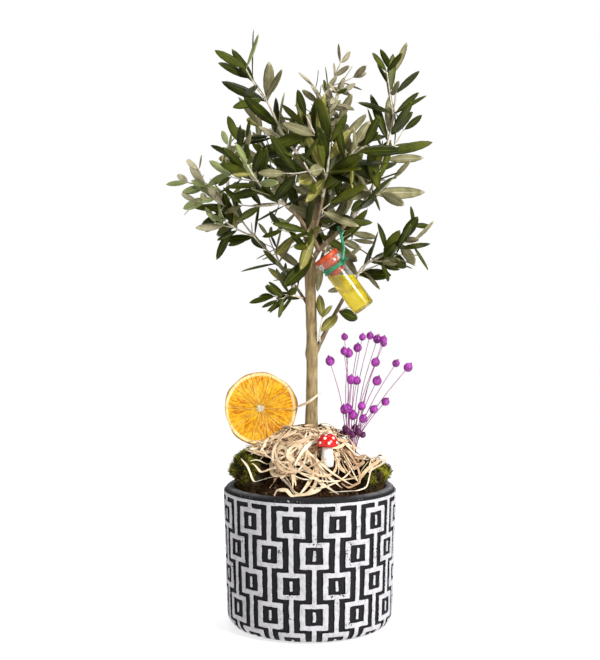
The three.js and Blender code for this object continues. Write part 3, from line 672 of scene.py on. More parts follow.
def pot_finish():
    made, shader = new_material("painted_cement")
    tree = made.node_tree
    mask = paint_mask(tree)
    cement = grain_node(tree, *CEMENT, 700.0, low=0.4, high=0.72)
    paint = grain_node(tree, *PAINT, 260.0, low=0.3, high=0.55)
    # Dust and painted sheen on the rim's left and right shoulders
    ground = mix_node(tree, rim_dust_and_sheen(tree), cement.outputs["Colour"], DUST_AND_SHEEN)
    colour = mix_node(tree, mask, ground, paint.outputs["Colour"])
    rough = range_node(tree, cement.outputs["Height"], 0.3, 0.7, 0.62, 0.88)
    set_inputs(shader, Base_Color=colour, Roughness=rough, Specular_IOR_Level=0.2)
    height = math_node(tree, "MULTIPLY_ADD", mask, 0.35, cement.outputs["Height"])
    bump_node(tree, shader, height, depth=0.00035, strength=0.6)
    return made


new_piece("pot_shell", pot_bm, [pot_finish()], ["pot"], crease=50)

# %% [markdown]
# The tree grows by one rule, the same that shaped its solids, so each limb and leaf starts where the solid
# one does. The rule draws its chances from a stream of numbers that comes out the same each time. Python's
# random module would do for that, but the solids were grown with this short stream.

# %% Number stream
WORD = 0xFFFFFFFF
STREAM_STEP = 0x6D2B79F5
TREE_SEED = 41


def number_stream(seed):
    """A function that draws the next number from 0 to 1 each time it is called."""
    state = seed & WORD

    def draw():
        nonlocal state
        state = (state + STREAM_STEP) & WORD
        mixed = ((state ^ (state >> 15)) * (state | 1)) & WORD
        mixed ^= (mixed + (mixed ^ (mixed >> 7)) * (mixed | 61)) & WORD
        return ((mixed ^ (mixed >> 14)) & WORD) / (WORD + 1)

    return draw


sample = number_stream(TREE_SEED)
print("first numbers of the tree's stream:", [round(sample(), 4) for i in range(3)])

# %% [markdown]
# Limbs follow smooth paths, which can be asked for a point or a direction at any share of their length. A
# curve object could carry a limb too, but a script can't ask it for a place on the way so easily.

# %% Paths
UP = Vector((0, 0, 1))


class Path:
    """A curve in millimetres that is read by the share of its length."""

    def __init__(self, at):
        self.at = at
        self.times = np.linspace(0, 1, 201)
        points = [at(time) for time in self.times]
        steps = [(b - a).length for a, b in zip(points, points[1:])]
        self.reached = np.concatenate([[0], np.cumsum(steps)])
        self.length = float(self.reached[-1])

    def time(self, share):
        return float(np.interp(share * self.length, self.reached, self.times))

    def point(self, share):
        return self.at(self.time(share))

    def along(self, share):
        time = self.time(share)
        return (self.at(min(1, time + 1e-4)) - self.at(max(0, time - 1e-4))).normalized()


def smooth_path(points):
    """A path through its points whose bends stay even where the points are uneven."""
    points = [Vector(p) for p in points]
    knots = [2 * points[0] - points[1], *points, 2 * points[-1] - points[-2]]

    def at(time):
        place = time * (len(points) - 1)
        index = min(int(place), len(points) - 2)
        share = place - index
        p0, p1, p2, p3 = knots[index:index + 4]
        d0, d1, d2 = (max((b - a).length, 1e-3) ** 0.5 for a, b in ((p0, p1), (p1, p2), (p2, p3)))
        leave = ((p1 - p0) / d0 - (p2 - p0) / (d0 + d1) + (p2 - p1) / d1) * d1
        reach = ((p2 - p1) / d1 - (p3 - p1) / (d1 + d2) + (p3 - p2) / d2) * d1
        square = 3 * (p2 - p1) - 2 * leave - reach
        cube = 2 * (p1 - p2) + leave + reach
        return p1 + leave * share + square * share ** 2 + cube * share ** 3

    return Path(at)


def bent_path(start, elbow, end):
    return Path(lambda t: start * (1 - t) ** 2 + elbow * (2 * t * (1 - t)) + end * t ** 2)


print("length of a path 30 mm along and 40 mm up:", round(smooth_path([(0, 0, 0), (30, 0, 40)]).length, 2))

# %% [markdown]
# These are the tree's own sizes in millimetres. The trunk stands on the soil and passes an old pruning
# knuckle, the boughs leave it one by one, and each leafy shoot runs on from a bough. They could be drawn by
# hand in the viewport, but as tables they match the solids and are easy to change.

# %% Sizes of the tree
TRUNK = {"points": [(1, 0, 132.3), (1.5, 0, 206), (0, 0, 271), (1, 2, 303)], "base": 4.4, "knee": 3.9,
         "leader": 2.3, "tip": 1.7, "knee_share": 0.81, "knee_swell": 1.4, "knee_width": 0.035, "flare": 2.6,
         "flare_fade": 14}
# Radii at both ends and points of each bough
BOUGHS = {
    "bough_right": ((2.0, 1.5), [(0, 0, 269), (7, -5, 281), (16, -8, 289), (31, -12, 304)]),
    "bough_left": ((1.7, 1.3), [(6.5, -4.5, 280), (2, -10, 289), (-7, -15, 302), (-15, -18, 311)]),
    "bough_low_left": ((1.4, 1.0), [(1, 0, 236), (-5, 2, 245), (-11, 3, 254)]),
    "bough_low_right": ((1.9, 1.1), [(1.5, 0, 199), (9, 3, 214), (24, 9, 242), (35, 11, 260)]),
    "bough_top_left": ((1.7, 1.3), [(1, 2, 303.3), (0, 0, 326), (-9, -2, 351)]),
    "bough_centre": ((1.5, 1.2), [(1, 2, 293), (5, 8, 318), (7, 10, 352)]),
    "bough_front": ((1.5, 1.2), [(0, 0, 281), (5, -16, 300), (9, -28, 318)]),
    "bough_back_left": ((1.6, 1.2), [(0, 1, 276), (-6, 16, 300), (-9, 29, 318)]),
    "bough_back_right": ((1.6, 1.2), [(0, 1, 283), (9, 17, 302), (15, 32, 322)]),
    "bough_low_back": ((1.6, 1.1), [(1, 0, 250), (6, 13, 265), (11, 28, 280)]),
}
# Bough, share of it where the shoot leaves, plan and points of each shoot. A plan has the length of a leaf,
# the step between pairs, the size at the tip, the count of side twigs and the first turn.
SHOOTS = {
    "right": ("bough_right", 1, (40, 14, 0.55, 3, 20),
              [(44, -14, 323), (57, -16, 360), (62, -14, 391), (61, -13, 408)]),
    "left": ("bough_left", 1, (30, 12, 0.75, 3, 50), [(-26, -20, 318), (-42, -25, 332), (-51, -27, 346)]),
    "low_left": ("bough_low_left", 1, (31, 14, 0.65, 3, 10),
                 [(-24, 5, 271), (-47, 6, 297), (-62, 5, 318), (-76, 3, 327), (-90, 0, 330)]),
    "low_right": ("bough_low_right", 1, (28, 12, 0.85, 2, 70), [(40, 11, 268), (54, 6, 276), (65, 2, 281)]),
    "top_left": ("bough_top_left", 1, (37, 18, 1, 2, 35), [(-20, -4, 365), (-31, -6, 388), (-42, -8, 405)]),
    "centre": ("bough_centre", 1, (25, 11, 0.75, 3, 5), [(8, 10, 374), (6, 8, 390), (4, 6, 400)]),
    "front": ("bough_front", 1, (37, 13, 0.8, 3, 25), [(12, -38, 336), (14, -45, 356)]),
    "back_left": ("bough_back_left", 1, (37, 13, 0.8, 3, 60), [(-13, 44, 340), (-16, 54, 366)]),
    "back_right": ("bough_back_right", 1, (37, 13, 0.8, 3, 15), [(22, 48, 342), (27, 58, 368)]),
    "sprout": ("bough_low_right", 0.2, (19, 9, 0.9, 0, 80), [(7, -5, 216), (9, -8, 230)]),
    "low_front": ("bough_low_left", 0.45, (24, 10, 0.8, 0, 15), [(-14, -5, 247), (-26, -8, 246)]),
    "low_back": ("bough_low_back", 1, (35, 13, 0.8, 2, 40), [(16, 44, 292), (22, 60, 302)]),
}
TWIG = {"length": 34, "lengths": (0.7, 1.1), "radius": 0.8, "tip": 0.5, "first": 0.12, "last": 0.72,
        "turn": 137, "swing": 20, "spread": 48, "rise": 0.2, "leaf": 0.82, "sprout_radius": 0.9}

trunk_path = smooth_path(TRUNK["points"])
bough_paths = {name: smooth_path(points) for name, (radii, points) in BOUGHS.items()}
print("trunk:", round(trunk_path.length), "mm, boughs:", len(bough_paths), "shoots:", len(SHOOTS))

# %% [markdown]
# A limb is a ring that is extruded step by step along its path, turned and narrowed on the way. A cylinder
# bent by a curve would do too, but the extruded ring lets the radius follow any rule, such as the swelling
# at a knuckle or the flare at the foot.

# %% Growing a limb
def ring_frames(path, radius_at, steps):
    """One matrix for each ring: its middle, its turn carried along without twist, and its radius."""
    frames = []
    along = path.along(0)
    turn = UP.rotation_difference(along)
    for step in range(steps + 1):
        share = step / steps
        ahead = path.along(share)
        turn = along.rotation_difference(ahead) @ turn
        along = ahead
        radius = radius_at(share) * MM
        frames.append(Matrix.LocRotScale(path.point(share) * MM, turn, Vector((radius, radius, radius))))
    return frames


def grow_limb(path, radius_at, sides, steps):
    bm = bmesh.new()
    frames = ring_frames(path, radius_at, steps)
    bmesh.ops.create_circle(bm, cap_ends=True, segments=sides, radius=1, matrix=frames[0])
    edges = list(bm.edges)
    for before, after in zip(frames, frames[1:]):
        grown = bmesh.ops.extrude_edge_only(bm, edges=edges)["geom"]
        edges = [g for g in grown if isinstance(g, bmesh.types.BMEdge)]
        ring = [g for g in grown if isinstance(g, bmesh.types.BMVert)]
        bmesh.ops.transform(bm, matrix=after @ before.inverted(), verts=ring)
    bmesh.ops.edgeloop_fill(bm, edges=edges)
    return faced_out(bm)


def add_shape(whole, part):
    """Adds one bmesh to another and lets go of it."""
    mesh = bpy.data.meshes.new("part_in_hand")
    part.to_mesh(mesh)
    part.free()
    whole.from_mesh(mesh)
    bpy.data.meshes.remove(mesh)


def trunk_radius(share):
    knee = TRUNK["knee_share"]
    if share < knee:
        shaft = between(TRUNK["base"], TRUNK["knee"], share / knee)
    else:
        shaft = between(TRUNK["leader"], TRUNK["tip"], (share - knee) / (1 - knee))
    knuckle = TRUNK["knee_swell"] * math.exp(-(((share - knee) / TRUNK["knee_width"]) ** 2))
    return shaft + knuckle + TRUNK["flare"] * math.exp(-share * TRUNK["flare_fade"])


trunk_bm = grow_limb(trunk_path, trunk_radius, sides=24, steps=110)
print("trunk faces:", len(trunk_bm.faces))

# %% [markdown]
# Young olive bark is smooth, tan and a little greenish, with shallow upright furrows and small knots where
# shoots were cut. A bump would be cheaper, but leaves the outline straight, so the furrows are real relief:
# each point moves along its normal by a noise that is stretched along the trunk. The knots are soft lumps.

# %% Bark relief and finish
# Place, reach and height of each knot
KNOTS = [((-4.1, -1.0, 203), 3.2, 1.2), ((4.8, -1.0, 206), 3.0, 1.1), ((-3.8, -2.0, 268), 3.6, 1.0),
         ((4.2, -1.5, 262), 2.8, 0.7), ((1.0, -4.0, 240), 2.4, 0.5), ((-3.8, -2.2, 176), 2.2, 0.5)]
FURROW_SCALE = (620, 620, 60)
LUMP = {"scale": 150, "size": 1.2}
BARK_DEPTH = {"trunk": 0.2, "bough": 0.16}
COLLAR = {"swell": 0.3, "fade": 3.5}


def furrowed(bm, depth):
    """Moves the bark in and out, in furrows that run along the limb."""
    bm.normal_update()
    moves = []
    for vert in bm.verts:
        furrow = noise.noise(Vector([c * scale for c, scale in zip(vert.co, FURROW_SCALE)]))
        lump = noise.noise(vert.co * LUMP["scale"])
        knot = 0.0
        for place, reach, height in KNOTS:
            away = (vert.co / MM - Vector(place)).length / reach
            knot += height * math.exp(-away * away)
        moves.append(vert.normal * ((furrow * depth + lump * depth * LUMP["size"] + knot) * MM))
    for vert, move in zip(bm.verts, moves):
        vert.co += move


def bough_limb(name):
    """A bough that swells to a collar where it leaves the trunk."""
    thick, thin = BOUGHS[name][0]
    path = bough_paths[name]

    def radius_at(share):
        collar = COLLAR["swell"] * thick * math.exp(-share * path.length / COLLAR["fade"])
        return between(thick, thin, share) + collar

    return grow_limb(path, radius_at, sides=14, steps=max(12, round(path.length / 2)))


furrowed(trunk_bm, BARK_DEPTH["trunk"])
young_bark = grained("young_bark", (0.155, 0.108, 0.048), (0.38, 0.28, 0.138), 210.0, 0.85, depth=0.0004,
                     stretch=(2.2, 2.2, 0.55), low=0.3, high=0.7, Specular_IOR_Level=0.2)
new_piece("trunk_bark", trunk_bm, [young_bark], ["trunk"])
boughs_bm = bmesh.new()
for name in BOUGHS:
    add_shape(boughs_bm, bough_limb(name))
furrowed(boughs_bm, BARK_DEPTH["bough"])
bough_bark = grained("bough_bark", (0.11, 0.075, 0.04), (0.27, 0.2, 0.12), 160.0, 0.85, depth=0.0004,
                     stretch=(2, 2, 0.6), Specular_IOR_Level=0.2)
new_piece("bough_bark", boughs_bm, [bough_bark], list(BOUGHS))

# %% [markdown]
# The shoots carry their leaves in opposite pairs, each pair a quarter turn from the last, and send out side
# twigs that bend up to the light. The rule draws its chances in the same order as the solids did, so the
# leaves come out in the same places. A leaf is only a place for now: its root, direction, upper face and
# length.

# %% Shoots, twigs and the places of the leaves
GAP = 0.3
LEAF_RULE = {"first": 0.06, "taper": 2.2, "spread": (62, 34), "swing": 22, "nod": 12, "upward": 0.35,
             "roll": 35, "sizes": (0.8, 1.12)}


def turned_about(vector, axis, degrees):
    return Quaternion(axis, math.radians(degrees)) @ vector


def level_of(along):
    side = along.cross(UP)
    return side.normalized() if side.length > 1e-6 else Vector((1, 0, 0))


def either_way(most, draw):
    return between(-most, most, draw())


def leaf_places(path, leaf, step, tip, turn, draw):
    """Root, direction, upper face and length of each leaf on a shoot."""
    pairs = max(2, int(path.length // step))
    places = []
    for pair in range(pairs + 1):
        share = between(LEAF_RULE["first"], 1, pair / pairs)
        along = path.along(share)
        level = level_of(along)
        size = leaf * between(1, tip, share ** LEAF_RULE["taper"])
        for side in (0, 180):
            around = turn + pair * 90 + side + either_way(LEAF_RULE["swing"], draw)
            outward = turned_about(level, along, around)
            spread = math.radians(between(*LEAF_RULE["spread"], share) + either_way(LEAF_RULE["nod"], draw))
            direction = along * math.cos(spread) + outward * math.sin(spread)
            upper = along + UP * LEAF_RULE["upward"]
            face = turned_about(upper, direction, either_way(LEAF_RULE["roll"], draw))
            length = size * between(*LEAF_RULE["sizes"], draw())
            places.append((path.point(share), direction, face, length))
    return places


def grown_twig(path, share, turn, lean, length, rise):
    """The path of a twig that leaves a limb at a share of its length and bends up to the light."""
    along = path.along(share)
    outward = turned_about(level_of(along), along, turn)
    slant = math.radians(lean)
    direction = along * math.cos(slant) + outward * math.sin(slant)
    root = path.point(share)
    tip = root + direction * length + UP * length * rise
    return bent_path(root, root + direction * length * 0.5, tip)


def side_twigs(path, count, turn, draw):
    made = []
    for index in range(count):
        share = between(TWIG["first"], TWIG["last"], index / (count - 1) if count > 1 else 0.5)
        around = turn + index * TWIG["turn"] + either_way(TWIG["swing"], draw)
        length = TWIG["length"] * between(*TWIG["lengths"], draw())
        made.append(grown_twig(path, share, around, TWIG["spread"], length, TWIG["rise"]))
    return made


def stem_path(bough, share, points):
    start = bough_paths[bough].point(share)
    if share == 1:
        start += bough_paths[bough].along(1) * GAP
    return smooth_path([start, *points])


tree_draw = number_stream(TREE_SEED)
stems = {name: stem_path(bough, share, points) for name, (bough, share, plan, points) in SHOOTS.items()}
twigs = {name: side_twigs(stems[name], *shoot[2][3:], tree_draw) for name, shoot in SHOOTS.items()}
leaf_stands = {}
for name, (bough, share, (leaf, step, tip, count, turn), points) in SHOOTS.items():
    leaf_stands[name] = leaf_places(stems[name], leaf, step, tip, turn, tree_draw)
    for path in twigs[name]:
        leaf_stands[name] += leaf_places(path, leaf * TWIG["leaf"], step, tip, turn, tree_draw)
print("leaves by the rule:", sum(len(stands) for stands in leaf_stands.values()))

# %% [markdown]
# The solids had to be plain, with few leaves. Here the rule is carried on: finer twigs with smaller leaves
# grow from the stems, the side twigs and the outer boughs, inside the same reach. Their number is set shoot
# by shoot, because the crown in the photograph is dense in the middle and open at its tips.

# %% Finer twigs inside the crown
FINE_SEED = 77
FINE = {"step": 24, "length": 18, "lengths": (0.7, 1.2), "radius": 0.5, "tip": 0.35, "last": 0.92,
        "jitter": 0.8, "turn": 137.5, "swing": 60, "spread": 55, "nod": 10, "rise": 0.15, "leaf": 0.85,
        "pair_step": 9, "bough": 1.3}
# Share of a limb that carries no finer twigs
BARE = {"bough_low_right": 0.5, "bough_low_left": 0.6, "low_left": 0.5}
BARE_SHOOT = 0.08
BARE_BOUGH = 0.1
FULLNESS = {"right": 0.6, "left": 0.6, "low_left": 1.1, "low_right": 0.7, "top_left": 0.25, "centre": 1.1,
            "front": 0.8, "back_left": 0.9, "back_right": 0.9, "sprout": 0.0, "low_front": 2.0,
            "low_back": 0.8}


def fine_twigs(path, fullness, first, draw):
    made = []
    count = int(path.length * fullness / FINE["step"])
    for index in range(count):
        share = between(first, FINE["last"], (index + draw() * FINE["jitter"]) / max(1, count))
        around = index * FINE["turn"] + FINE["swing"] * draw()
        lean = FINE["spread"] + either_way(FINE["nod"], draw)
        length = FINE["length"] * between(*FINE["lengths"], draw())
        made.append(grown_twig(path, share, around, lean, length, FINE["rise"]))
    return made


fine_draw = number_stream(FINE_SEED)
fine = {}
for name, (bough, share, (leaf, step, tip, count, turn), points) in SHOOTS.items():
    fine[name] = []
    for path in [stems[name], *twigs[name]]:
        fine[name] += fine_twigs(path, FULLNESS[name], BARE.get(name, BARE_SHOOT), fine_draw)
    if share == 1:
        fullness = FINE["bough"] * FULLNESS[name]
        fine[name] += fine_twigs(bough_paths[bough], fullness, BARE.get(bough, BARE_BOUGH), fine_draw)
    for path in fine[name]:
        turn = 180 * fine_draw()
        leaf_stands[name] += leaf_places(path, leaf * FINE["leaf"], FINE["pair_step"], tip, turn, fine_draw)
print("finer twigs:", sum(len(paths) for paths in fine.values()))
print("leaves in all:", sum(len(stands) for stands in leaf_stands.values()))

# %% [markdown]
# Twigs are pale, almost cream where they are young. Bevelled curves could draw them, but the limb helper is
# at hand and closes their ends. They are joined into one piece, because they are one kind of thing and far
# too small to be picked up one by one.

# %% Twigs
def twig_limb(path, thick, thin, sides):
    steps = max(4, round(path.length / 4))
    return grow_limb(path, lambda share: between(thick, thin, share), sides, steps)


twig_bm = bmesh.new()
for name, (bough, share, plan, points) in SHOOTS.items():
    thick = BOUGHS[bough][0][1] if share == 1 else TWIG["sprout_radius"]
    add_shape(twig_bm, twig_limb(stems[name], thick, TWIG["tip"], sides=8))
    for path in twigs[name]:
        add_shape(twig_bm, twig_limb(path, TWIG["radius"], TWIG["tip"], sides=6))
    for path in fine[name]:
        add_shape(twig_bm, twig_limb(path, FINE["radius"], FINE["tip"], sides=5))
twig_bark = grained("twig_bark", (0.38, 0.32, 0.23), (0.7, 0.63, 0.51), 300.0, 0.75, depth=0.0002)
new_piece("twigs", twig_bm, [twig_bark])

# %% [markdown]
# An olive leaf is leathery and oblong with a blunt tip, dark and glossy above, silvery below, with a pale
# rib. One leaf is shaped from a small grid whose rows follow the outline. A copy is turned over for the
# underside, and the two are merged along the edge. A sculpted leaf would be finer, but this one is repeated
# hundreds of times, so it has only a few dozen faces.

# %% One leaf
LEAF_ROWS = (0.0, 0.07, 0.2, 0.38, 0.58, 0.78, 0.92, 1.0)
LEAF_HALF = (0.09, 0.13, 0.58, 0.92, 1.0, 0.82, 0.47, 0.08)
LEAF_COLUMNS = (-1.0, -0.55, -0.07, 0.07, 0.55, 1.0)
RIB_HALF = 0.1


def leaf_shape():
    """A leaf along +Y from 0 to 1; x is in half widths, and z is 1 above, -1 below and 0 at the edge."""
    bm = bmesh.new()
    bmesh.ops.create_grid(bm, x_segments=len(LEAF_COLUMNS) - 1, y_segments=len(LEAF_ROWS) - 1, size=0.5)
    copy = bmesh.ops.duplicate(bm, geom=bm.verts[:] + bm.edges[:] + bm.faces[:])["geom"]
    under = {g for g in copy if isinstance(g, bmesh.types.BMVert)}
    bmesh.ops.reverse_faces(bm, faces=[g for g in copy if isinstance(g, bmesh.types.BMFace)])
    for vert in bm.verts:
        column = round((vert.co.x + 0.5) * (len(LEAF_COLUMNS) - 1))
        row = round((vert.co.y + 0.5) * (len(LEAF_ROWS) - 1))
        is_end = row in (0, len(LEAF_ROWS) - 1)
        is_edge = is_end or column in (0, len(LEAF_COLUMNS) - 1)
        if is_end:
            column = min(max(column, 1), len(LEAF_COLUMNS) - 2)
        side = 0 if is_edge else (-1 if vert in under else 1)
        vert.co = (LEAF_COLUMNS[column] * LEAF_HALF[row], LEAF_ROWS[row], side)
    bmesh.ops.remove_doubles(bm, verts=bm.verts, dist=1e-5)
    return bm


def shape_arrays(bm):
    """Corners of a shape, and the corners of each of its faces by number."""
    bm.verts.index_update()
    return np.array([v.co for v in bm.verts]), [[v.index for v in f.verts] for f in bm.faces]


def leaf_kind(face):
    """0 for a face of the upper side and 1 of the underside, and 2 more on the rib."""
    middle = face.calc_center_median()
    return (0 if middle.z > 0 else 1) + (2 if abs(middle.x) < RIB_HALF else 0)


leaf_bm = leaf_shape()
leaf_corners, leaf_faces = shape_arrays(leaf_bm)
leaf_kinds = np.array([leaf_kind(face) for face in leaf_bm.faces])
leaf_bm.free()
print("leaf faces:", len(leaf_faces), "corners:", len(leaf_corners))

# %% [markdown]
# Hundreds of leaves could be objects of their own, but one mesh for a whole shoot is quicker to make, to
# render and to export. It is filled from arrays: the corners of all copies, and their faces with the numbers
# of the corners moved on from copy to copy. Crumbs and moss blades are joined by the same helper.

# %% Joining many copies
def joined_mesh(name, corners, faces, tints):
    """A mesh of many copies of one shape: corners is copies by corners by 3, tints is copies by faces."""
    copies, count = corners.shape[:2]
    mesh = bpy.data.meshes.new(name)
    loops = np.concatenate([np.array(face) for face in faces])
    sizes = np.array([len(face) for face in faces])
    shift = np.arange(copies)[:, None] * count
    mesh.vertices.add(copies * count)
    mesh.vertices.foreach_set("co", corners.reshape(-1).astype(np.float32))
    mesh.loops.add(copies * len(loops))
    mesh.loops.foreach_set("vertex_index", (loops[None, :] + shift).reshape(-1).astype(np.int32))
    starts = np.concatenate([[0], np.cumsum(np.tile(sizes, copies))[:-1]])
    mesh.polygons.add(copies * len(faces))
    mesh.polygons.foreach_set("loop_start", starts.astype(np.int32))
    mesh.polygons.foreach_set("material_index", np.asarray(tints).reshape(-1).astype(np.int32))
    mesh.update(calc_edges=True)
    mesh.validate()
    return mesh


print("one copy has", sum(len(face) for face in leaf_faces), "face corners")

# %% [markdown]
# No two leaves are alike, and instances of one leaf would show it. Each copy is made slim or broad, bent down
# along its length, folded along its rib and swept to one side by its own numbers, for all corners at once.

# %% Leaf copies
# Ranges in shares of the leaf's length, except for the fold, which is in half widths
LEAF_BODY = {"half": (0.1, 0.16), "bend": (-0.02, 0.16), "fold": (-0.1, 0.3), "sweep": (-0.06, 0.06)}
LEAF_THICK = (0.16, 0.004)
LEAF_ARCH = {"fold": 0.6, "droop": 0.12, "shorter": 0.5}


def leaf_copy(place, broad, draw):
    """The corners of one leaf in metres, bent down along its length and folded along its rib."""
    root, direction, face, length = place
    across = direction.cross(face).normalized()
    upper = across.cross(direction)
    half, bend, fold, sweep = [between(*limits, draw()) for limits in LEAF_BODY.values()]
    half = broad * length * half
    thick = LEAF_THICK[0] + LEAF_THICK[1] * length
    u, t, side = leaf_corners.T
    x = u * half + sweep * length * t * t
    y = t * length - bend * bend * length * t * LEAF_ARCH["shorter"]
    z = side * thick + fold * np.abs(u) * half * LEAF_ARCH["fold"] - LEAF_ARCH["droop"] * u * u * half
    z = z - bend * length * t * t
    frame_of = np.array([across, direction, upper])
    return (np.array(root) + np.stack([x, y, z], axis=1) @ frame_of) * MM


print("leaf sizes that vary:", list(LEAF_BODY))

# %% [markdown]
# Colour is dealt out spray by spray from a few plain finishes, with more silver and yellow where the
# photograph shows young growth and more dark green inside. Upper side, underside and rib of a leaf each have
# their own finish, so a leaf that is turned over shows its silver side.

# %% Leaf finishes and sprays
# Dark and light colour, grain, roughness and sheen
LEAF_FINISHES = {
    "deep": ((0.013, 0.018, 0.001), (0.03, 0.038, 0.002), 90.0, 0.36, 0.1),
    "green": ((0.034, 0.042, 0.003), (0.075, 0.086, 0.007), 90.0, 0.38, 0.1),
    "olive": ((0.12, 0.115, 0.02), (0.23, 0.21, 0.05), 80.0, 0.5, 0.12),
    "young": ((0.175, 0.215, 0.078), (0.325, 0.375, 0.155), 80.0, 0.52, 0.12),
    "silver": ((0.25, 0.22, 0.14), (0.43, 0.39, 0.26), 120.0, 0.75, 0.12),
    "tan": ((0.2, 0.172, 0.105), (0.33, 0.285, 0.185), 120.0, 0.75, 0.12),
    "under": ((0.14, 0.13, 0.06), (0.25, 0.23, 0.115), 120.0, 0.7, 0.12),
    "rib": ((0.32, 0.29, 0.11), (0.45, 0.4, 0.17), 200.0, 0.6, 0.12),
    "vein": ((0.05, 0.055, 0.006), (0.09, 0.092, 0.012), 200.0, 0.5, 0.12),
}
# Finish of the upper side, underside, upper rib and lower rib, for each tint
TINTS = {
    "deep": ("deep", "under", "green", "silver"),
    "green": ("green", "under", "vein", "silver"),
    "olive": ("olive", "under", "rib", "rib"),
    "young": ("young", "silver", "rib", "rib"),
    "silver": ("silver", "tan", "rib", "rib"),
}
# Young leaves are rounder than old ones
BROAD = {"young": 1.25, "silver": 1.1}
SPRAYS = {
    "right": {"deep": 6, "green": 3, "olive": 1},
    "left": {"deep": 4, "green": 4, "young": 2, "olive": 1},
    "low_left": {"green": 5, "deep": 6, "olive": 1},
    "left_tip": {"young": 9, "silver": 2},
    "low_right": {"deep": 6, "green": 3, "olive": 1},
    "top_left": {"green": 5, "deep": 4, "olive": 1, "young": 1},
    "centre": {"green": 3, "deep": 4, "young": 1},
    "centre_tip": {"silver": 7, "young": 2, "green": 1},
    "front": {"deep": 5, "green": 3, "olive": 2},
    "sprout": {"olive": 6, "green": 4},
    **dict.fromkeys(("back_left", "back_right", "low_front", "low_back"), {"deep": 6, "green": 4}),
}
# Length and breadth of the leaves of some sprays, against the others
LEAF_FORM = {"left_tip": (0.82, 1.1), "centre_tip": (0.9, 1.1), "sprout": (1.1, 1.5),
             "low_right": (1.08, 1.3)}
LEFT_TIP_FROM = -58
CENTRE_TIP_FROM = 362


def spray_of(name, place):
    """The young tips of two shoots have paler sprays than their lower parts."""
    if name == "low_left" and place[0].x < LEFT_TIP_FROM:
        return "left_tip"
    if name == "centre" and place[0].z > CENTRE_TIP_FROM:
        return "centre_tip"
    return name


def form_of(name, place):
    return LEAF_FORM.get(spray_of(name, place), (1.0, 1.0))


def sized(name, place):
    return *place[:3], place[3] * form_of(name, place)[0]


def breadth_of(name, place, tint):
    return BROAD.get(tint, 1.0) * form_of(name, place)[1]


def deal(weights, draw):
    """A tint by chance, where one with twice the weight comes up twice as often."""
    pick = draw() * sum(weights.values())
    for tint in weights:
        pick -= weights[tint]
        if pick < 0:
            return tint
    return tint


leaf_finishes = finish_set(LEAF_FINISHES, "leaf_")
finish_order = list(LEAF_FINISHES)
tint_rows = {tint: np.array([finish_order.index(side) for side in sides]) for tint, sides in TINTS.items()}
print("leaf finishes:", len(leaf_finishes), "tints:", len(TINTS))

# %% [markdown]
# Where do leaves not grow? Not through the trunk, a bough or the hanging vial, and not in front of the bare
# trunk that the photograph shows. Those places are kept as a list of balls. A ball is cruder than a true
# distance to a mesh, but it is quick to test for thousands of points.

# %% Places that stay clear
VIAL_TOP = Vector((11, -14.5, 276.5))
VIAL_SLANT = 36.5
ROOM = {"trunk": 4.6, "bough": 1.6, "vial": 10.0, "behind": 8.5, "front": 9.0}
BEHIND_VIAL = (14, 28)
TRUNK_FRONT = [(0.5, -12, height) for height in range(212, 266, 9)]


def balls(points, room):
    return [[*point, room] for point in points]


def points_on(path):
    return [path.point(i / 24) for i in range(25)]


vial_down = Vector((math.sin(math.radians(VIAL_SLANT)), 0, -math.cos(math.radians(VIAL_SLANT))))
vial_points = [VIAL_TOP + vial_down * (4 * i) for i in range(13)]
clear_balls = balls(points_on(trunk_path), ROOM["trunk"])
for path in bough_paths.values():
    clear_balls += balls(points_on(path), ROOM["bough"])
clear_balls += balls(vial_points, ROOM["vial"])
for back in BEHIND_VIAL:
    clear_balls += balls([point + Vector((0, back, 0)) for point in vial_points], ROOM["behind"])
clear_balls = np.array(clear_balls + balls(TRUNK_FRONT, ROOM["front"]))
print("balls kept clear:", len(clear_balls))

# %% [markdown]
# The last step sorts the places, turns each leaf to the light and lays the copies. Leaves on a real olive
# face out of the crown and up, and a few are turned over by the wind. Those in front face the front a little
# more, as they do towards a window.

# %% Leaves of each shoot
LEAF_SEED = 53
REACH_ROOM = 2.5
LEAF_ROOM = 1.0
TESTED_SHARES = (0.35, 0.6, 0.85, 1.0)
LIGHT = {"out": 0.7, "up": 0.45, "front": 0.9, "front_depth": 25, "least": 0.1, "roll": 52}
TURNED_OVER = {"share": 0.12, "above": 292}


def in_reach(place):
    """True where a leaf ends inside the box of the solid crown, whose reach the finer twigs keep to."""
    root, direction, face, length = place
    tip = (root + direction * length) * MM
    room = REACH_ROOM * MM
    return all(low - room < t < high + room for low, t, high in zip(cad_box[0], tip, cad_box[1]))


def is_clear(place):
    """True where the outer part of a leaf keeps off all the balls."""
    root, direction, face, length = place
    for share in TESTED_SHARES:
        point = np.array(root + direction * (length * share))
        away = np.linalg.norm(clear_balls[:, :3] - point, axis=1) - clear_balls[:, 3]
        if away.min() < LEAF_ROOM:
            return False
    return True


def turned_to_light(place, draw):
    """Turns a leaf's face out of the crown, up and in the front half to the front, then rolls it."""
    root, direction, face, length = place
    middle = root + direction * (length / 2)
    front = min(1.0, max(0.0, (LIGHT["front_depth"] - middle.y) / LIGHT["front_depth"]))
    light = Vector((middle.x, middle.y, 0)).normalized() * LIGHT["out"] + UP * LIGHT["up"]
    light += Vector((0, -LIGHT["front"], 0)) * front
    upper = light - direction * light.dot(direction)
    if upper.length < LIGHT["least"]:
        upper = direction.cross(face).normalized().cross(direction)
    if draw() < TURNED_OVER["share"] and middle.z > TURNED_OVER["above"]:
        upper = -upper
    face = turned_about(upper.normalized(), direction, either_way(LIGHT["roll"], draw))
    return root, direction, face, length


